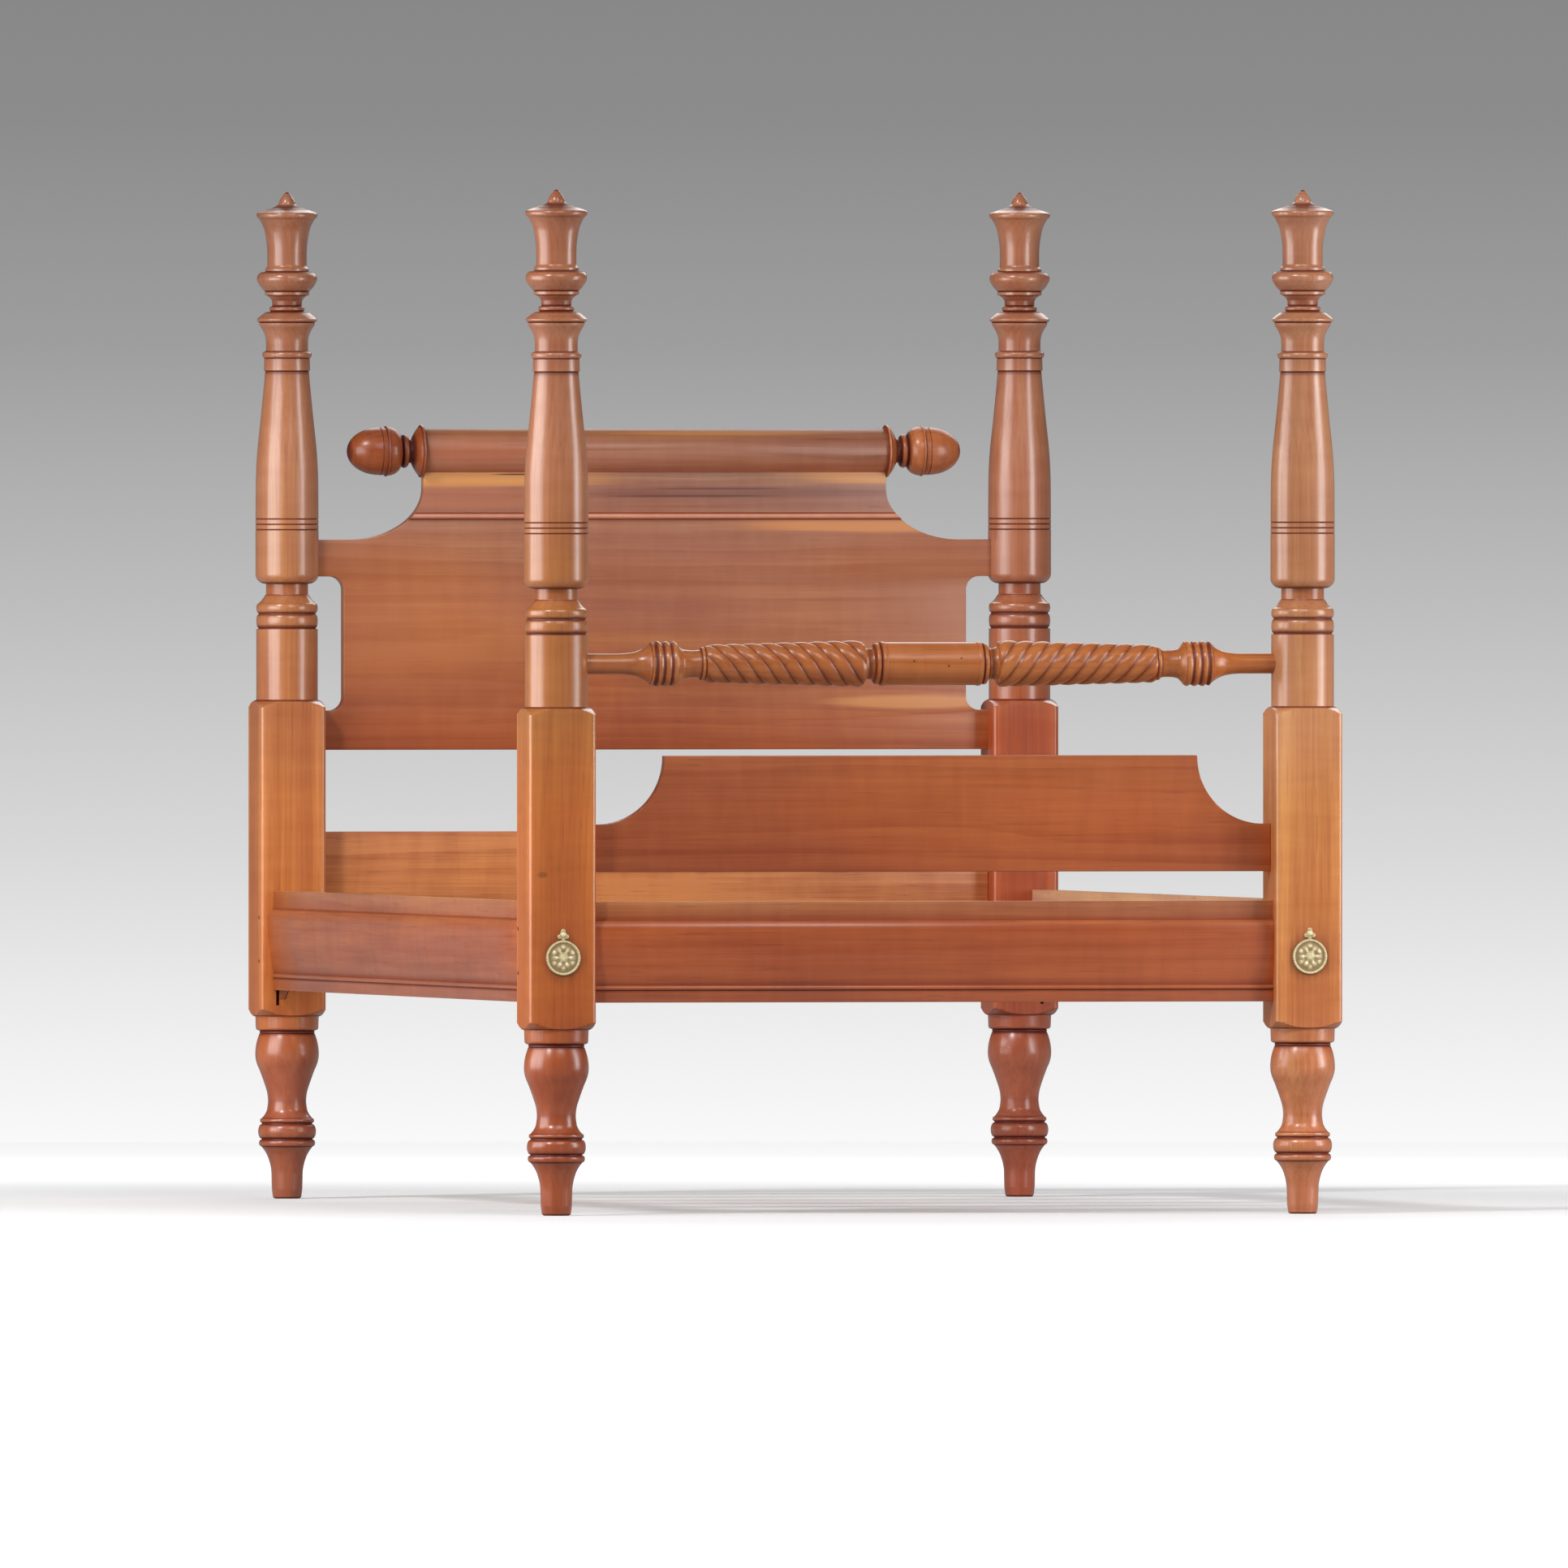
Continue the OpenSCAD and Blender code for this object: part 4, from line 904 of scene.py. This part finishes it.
def reed(angle, x):
    """Radius of the spiral reeding, and how deep the point lies between two reeds."""
    t = (x - reed_start) / (reed_end - reed_start)
    grown = 1 + (reed_thin / reed_fat - 1) * t
    turn = angle + 2 * math.pi * (x - reed_start) / reed_lead
    hill = abs(math.cos(reeds * turn / 2)) ** reed_fullness
    fade = min(1, (x - reed_start) / 5, (reed_end - x) / 5)
    return (reed_fat - reed_depth) * grown + reed_depth * grown * hill * (0.35 + 0.65 * fade), 1 - hill


def plain_stations(path, count):
    """The path's places, each with the radius and the darkness of count points round it."""
    return [(x, [(r, 0)] * count) for r, x in path]


angles = even_angles(150)
middle = tuple(p for p in cut_path(blanket_middle_cuts, 31.5) if p[1] < reed_start)
outer = cut_path(blanket_outer_cuts + [("line", blanket_tip - reed_end - 131, 15)], 23, reed_end)
half = [*plain_stations(middle, len(angles)),
        *[(x, [reed(a, x) for a in angles]) for x in np.linspace(reed_start, reed_end, 150)],
        *plain_stations(outer, len(angles))]
whole = [(-x, points) for x, points in half[:0:-1]] + half
blanket = ring_piece("blanket_rail_reeded", [
    [(x, FOOT_Y + r * math.cos(a), blanket_z + r * math.sin(a)) for (r, _), a in zip(points, angles)]
    for x, points in whole])
smooth(blanket, 34)
co = coordinates(blanket)
span, across = np.abs(co[:, 0]), np.hypot(co[:, 1] - FOOT_Y, co[:, 2] - blanket_z)
# Painted shade, as in other grooves: the wood is darkened by how deep a point lies between two reeds.
groove = np.array([dark for _, points in whole for _, dark in points]) ** 1.5
crest = np.zeros(len(co))
for path in (middle, outer):
    part = (span <= path[-1][1] + 0.01) & (span >= path[0][1] - 0.01) & (
        (span < reed_start) | (span > reed_end))
    groove[part], crest[part], _ = relief_at(path, span[part], across[part])
paint(blanket, groove=groove, crest=crest)
furnish(blanket, "blanket_rail", wood(
    "blanket_rail", (179, 102, 50), 31, contrast=0.9, rings=0.6, ring_step=0.009,
    pith=(0.83, FOOT_Y * MM + 0.03), streaks=0.55, blotches=0.6, gloss=0.30, coat=0.4,
    marks=[((x, FOOT_Y * MM - 0.03, z), (0.0022, 0.01, 0.0022), (60, 30, 20), 0.9)
           for x, z in ((-0.03, 0.812), (0.022, 0.805), (0.041, 0.816))]),
    body="blanket_rail", slot="turned_cherry")


# ---- slats

def slat_section():
    """The rounded section of a slat, about its middle."""
    half_u, half_v = slat_half_width - slat_corner, (slat_top - slat_bottom) / 2 - slat_corner
    return [point for u, v, start in ((1, 1, 0), (-1, 1, 90), (-1, -1, 180), (1, -1, 270))
            for point in arc((u * half_u, v * half_v), (slat_corner,) * 2, start, start + 90, 3)]


def make_slat(number):
    """A sawn board whose edges and top wander by up to 0.7 mm."""
    rng = np.random.default_rng(100 + number)
    y0 = (number - 3) * slat_pitch
    end, middle = slat_half_length, (slat_bottom + slat_top) / 2
    stations = np.concatenate([[-end, 0.8 - end], np.linspace(6 - end, end - 6, 70), [end - 0.8, end]])
    wander = np.cumsum(rng.normal(0, 0.10, (len(stations), 4)), axis=0)
    wander = np.clip(wander - wander.mean(0), -0.7, 0.0)
    rings = []
    for at, (left, right, top, _) in zip(stations, wander):
        end_ease = 0.985 if abs(at) > end - 0.5 else 1.0
        rings.append([(at, y0 + u * end_ease + (right if u > 0 else -left),
                       middle + v * end_ease + (top * 0.5 if v > 0 else 0)) for u, v in slat_section()])
    name = f"slat_{number}"
    slat = smooth(ring_piece(name + "_board", rings))
    furnish(slat, name, wood(
        name, (172, 120, 80), 50 + number, rings=1.0, ring_step=0.0075, pith=(0.29, y0 * MM + 0.02),
        blotches=0.6, flecks=0.6, gloss=0.7, coat=0.0, saw=0.3), body=name, slot="slat_wood")


for number in range(1, slat_count + 1):
    make_slat(number)


# ---- bolt covers

def cover_height(rho):
    """Front of a cover over the middle plane of its back, by distance from the middle."""
    face = [("late", 5, 3.2), ("swell", 4, 1.8), ("swell", 9, 1.8, 1.2), ("line", 4, cover_plate)]
    path = cut_path(face, cover_crest) + cut_path([("bead", 4, 3.2)], cover_plate, 22)
    h, at = np.array(path).T
    return float(np.interp(rho, at, h))


def at_cover(side, u, v, w):
    """World place of a point given across, up and out from the middle of a cover's back."""
    return side * POST_X + u, FOOT_Y - POST_HALF - w, cover_z + v


def cover_waist(angle):
    """How much narrower the disc is drawn towards its tab."""
    return 1 - 0.035 * max(0.0, math.sin(angle)) ** 2


def make_cover(side, word, material):
    """A stamped disc with a rosette, a beaded rim and a trefoil tab."""
    angles = even_angles(144)
    rows = np.concatenate([np.linspace(0.4, 21.5, 36), np.linspace(21.8, 25.6, 14), [25.9]])
    front, dark = [], []
    for rho in rows:
        ring, rim, plain = [], math.exp(-((rho - 23.8) / 1.5) ** 2), cover_height(rho) - 0.2
        for a in angles:
            petals = max(0.0, math.cos(6 * a)) ** 0.7 * math.exp(-((rho - 11) / 4.2) ** 2)
            leaves = max(0.0, math.cos(6 * a + math.pi)) ** 1.2 * math.exp(-((rho - 15.5) / 2.6) ** 2)
            veins = 0.5 + 0.5 * math.cos(24 * a)
            h = plain + 1.25 * petals * (0.8 + 0.2 * veins) + 0.9 * leaves + 0.30 * rim * math.cos(40 * a)
            h = min(h, cover_crest - 0.05)
            ring.append(at_cover(side, rho * cover_waist(a) * math.cos(a), rho * math.sin(a), cover_gap + h))
            low = 1 - petals - leaves - rim - math.exp(-(rho / 5.5) ** 2)
            dark.append(max(0.0, low) * 0.9 + 0.35 * rim * (math.cos(40 * a) < -0.3))
        front.append(ring)
    back = [at_cover(side, rows[-1] * cover_waist(a) * math.cos(a), rows[-1] * math.sin(a), cover_gap)
            for a in angles]
    disc = ring_piece("disc", [*front, back])
    paint(disc, groove=dark + [0.8] * len(angles))
    smooth(disc, 40)

    tab = []
    for u, v, radius in ((0, 34, 5), (5.2, 31, 3.4), (-5.2, 31, 3.4), (0, 39, 3.4)):
        dome = [(radius, 0), (radius, 0.9), (radius * 0.9, 1.4), (radius * 0.6, 1.75), (0.3, 1.9)]
        top = 1.4 / 1.9 if radius == 5 else 1
        tab.append(turned_piece(
            "lobe", dome, lambda x, y, w: at_cover(side, u + x, v + y, cover_gap + w * top), 32))
    neck = [(-3.2, 23), (3.2, 23), (2.4, 30), (-2.4, 30)]
    tab.append(prism("neck", neck, lambda x, w, v: at_cover(side, x, v, w), cover_gap, cover_gap + 1.4))
    for piece in tab:
        paint(piece, groove=np.full(len(piece.data.vertices), 0.45))
    name = f"bolt_cover_{word}"
    furnish(smooth(join(name + "_stamped", [disc, *tab]), 40), name, material, body=name, slot="cover_brass")


pale_brass = brass()
for side, word in SIDES.items():
    make_cover(side, word, pale_brass)
    top = cover_gap + cover_plate + cover_gap
    path = cut_path([("line", nail_length + top, 1.5), ("line", 0, 3.4), ("late", 1.9, 0.5)],
                    1.5, -nail_length)
    nail = turned_piece(f"cover_nail_{word}_domed", path,
                        lambda u, v, w: at_cover(side, u, cover_drop + v, w), 36)
    furnish(smooth(nail, 40), f"cover_nail_{word}", pale_brass, slot="cover_brass")

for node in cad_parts.values():
    if node.name.startswith(("hook_plate", "hook_pins")):
        node.data.materials.clear()
        node.data.materials.append(galvanised)


# ---- stage, light and camera

def floor_shader(s):
    """White where the camera looks, and a plain grey to everything else."""
    plain = s.shader("BsdfDiffuse", (0.40, 0.40, 0.40, 1))
    lit = s.shader("BsdfDiffuse", (0.95, 0.95, 0.96, 1))
    place = s.place()
    far = s.span(s.add("SeparateXYZ", Vector=place).outputs[1], 8.0, 0.0, 0.47, 0.60, "LINEAR")
    white = s.shader("Emission", (1, 1, 1, 1), s.span(s.vector("LENGTH", place), 1.3, 5.0, 0.02, far))
    seen = s.add("LightPath").outputs["Is Camera Ray"]
    return s.shader("MixShader", seen, plain, s.shader("AddShader", lit, white))


WALL_TONES = [(0.0, 249), (0.24, 234), (0.47, 216), (0.83, 191), (1.27, 158), (1.63, 140), (2.4, 124)]


def wall_shader(s):
    """A soft grey that pales towards the floor, seen from inside only and dimmer in reflections."""
    height = s.add("SeparateXYZ", Vector=s.place()).outputs[2]
    colour = s.ramp(height, [(z, (grey,) * 3) for z, grey in WALL_TONES])
    mirrored_ray = s.add("LightPath").outputs["Is Glossy Ray"]
    glow = s.shader("Emission", colour, s.span(mirrored_ray, 0, 1, 1.0, 0.35, "LINEAR"))
    outside = s.add("NewGeometry").outputs["Backfacing"]
    return s.shader("MixShader", outside, glow, s.shader("BsdfTransparent"))


def stage_piece(name, points, faces, material, build):
    """A mesh in metres, with the surface that build draws."""
    mesh = bpy.data.meshes.new(name)
    mesh.from_pydata(points, [], faces)
    shader = Shader(material)
    mesh.materials.append(shader.surface(build(shader)))
    return link(name, mesh)


WALL_RADIUS = 8.0
floor = stage_piece("floor", [(x, y, 0) for x, y in circle(60, 96)], [tuple(range(96))],
                    "floor_white", floor_shader)
wall = stage_piece("backdrop", [(x, y, z) for z in (0, 12) for x, y in circle(WALL_RADIUS, 128)],
                   [(k + 128, (k + 1) % 128 + 128, (k + 1) % 128, k) for k in range(128)],
                   "backdrop_grey", wall_shader)
wall.data.shade_smooth()
wall.visible_diffuse = wall.visible_shadow = False

world = bpy.data.worlds.new("studio")
bpy.context.scene.world = world
world.use_nodes = True
sky = world.node_tree.nodes["Background"]
sky.inputs[0].default_value, sky.inputs[1].default_value = (1.0, 0.99, 0.98, 1), 0.22

VIEW_TURN = math.radians(11.71)
forward = Vector((math.sin(VIEW_TURN), math.cos(VIEW_TURN), 0))
sideways = Vector((math.cos(VIEW_TURN), -math.sin(VIEW_TURN), 0))


def lamp(name, kind, energy, turn, rise, distance=7.0, size=(3.0, 3.0), target=(0, 0, 0.75), angle=0.0):
    """A lamp that looks at the bed, turned from the camera's direction and raised, in degrees."""
    data = bpy.data.lights.new(name, kind)
    data.energy = energy
    if kind == "AREA":
        data.shape, data.size, data.size_y = "RECTANGLE", *size
    else:
        data.angle = math.radians(angle)
    heading = -VIEW_TURN + math.radians(turn)
    rise = math.radians(rise)
    place = Vector((math.sin(heading) * math.cos(rise), -math.cos(heading) * math.cos(rise), math.sin(rise)))
    light = link(name, data)
    light.location = Vector(target) + place * distance
    light.rotation_euler = place.to_track_quat("Z", "Y").to_euler()
    light.visible_camera = False


lamp("softbox_left", "AREA", 96, -68, 8, distance=3.7, size=(3.3, 2.2), target=(0, -0.2, 0.8))
lamp("softbox_right", "AREA", 57, 66, 8, distance=3.6, size=(1.2, 2.4), target=(0, -0.2, 0.8))
lamp("softbox_front", "AREA", 88, 12, 35, size=(2.6, 2.4))
lamp("softbox_back", "AREA", 52, 172, 30, distance=5.0, size=(3.6, 2.4))
lamp("key", "SUN", 1.05, -34, 40, angle=8.0)

camera = link("camera", bpy.data.cameras.new("camera"))
CAMERA_AWAY, CAMERA_HIGH = 100.0, 1.30
look_at = Vector((0, FOOT_Y * MM, 0.6315)) - sideways * 0.2139
camera.location = look_at - forward * CAMERA_AWAY
camera.location.z = CAMERA_HIGH
camera.rotation_euler = (look_at - camera.location).to_track_quat("-Z", "Y").to_euler()
camera.data.sensor_width = 36
camera.data.lens = 36 * CAMERA_AWAY / (1932 * 0.00119)
camera.data.clip_start, camera.data.clip_end = 1, 400
bpy.context.scene.camera = camera

bpy.context.scene.view_settings.view_transform = "Standard"
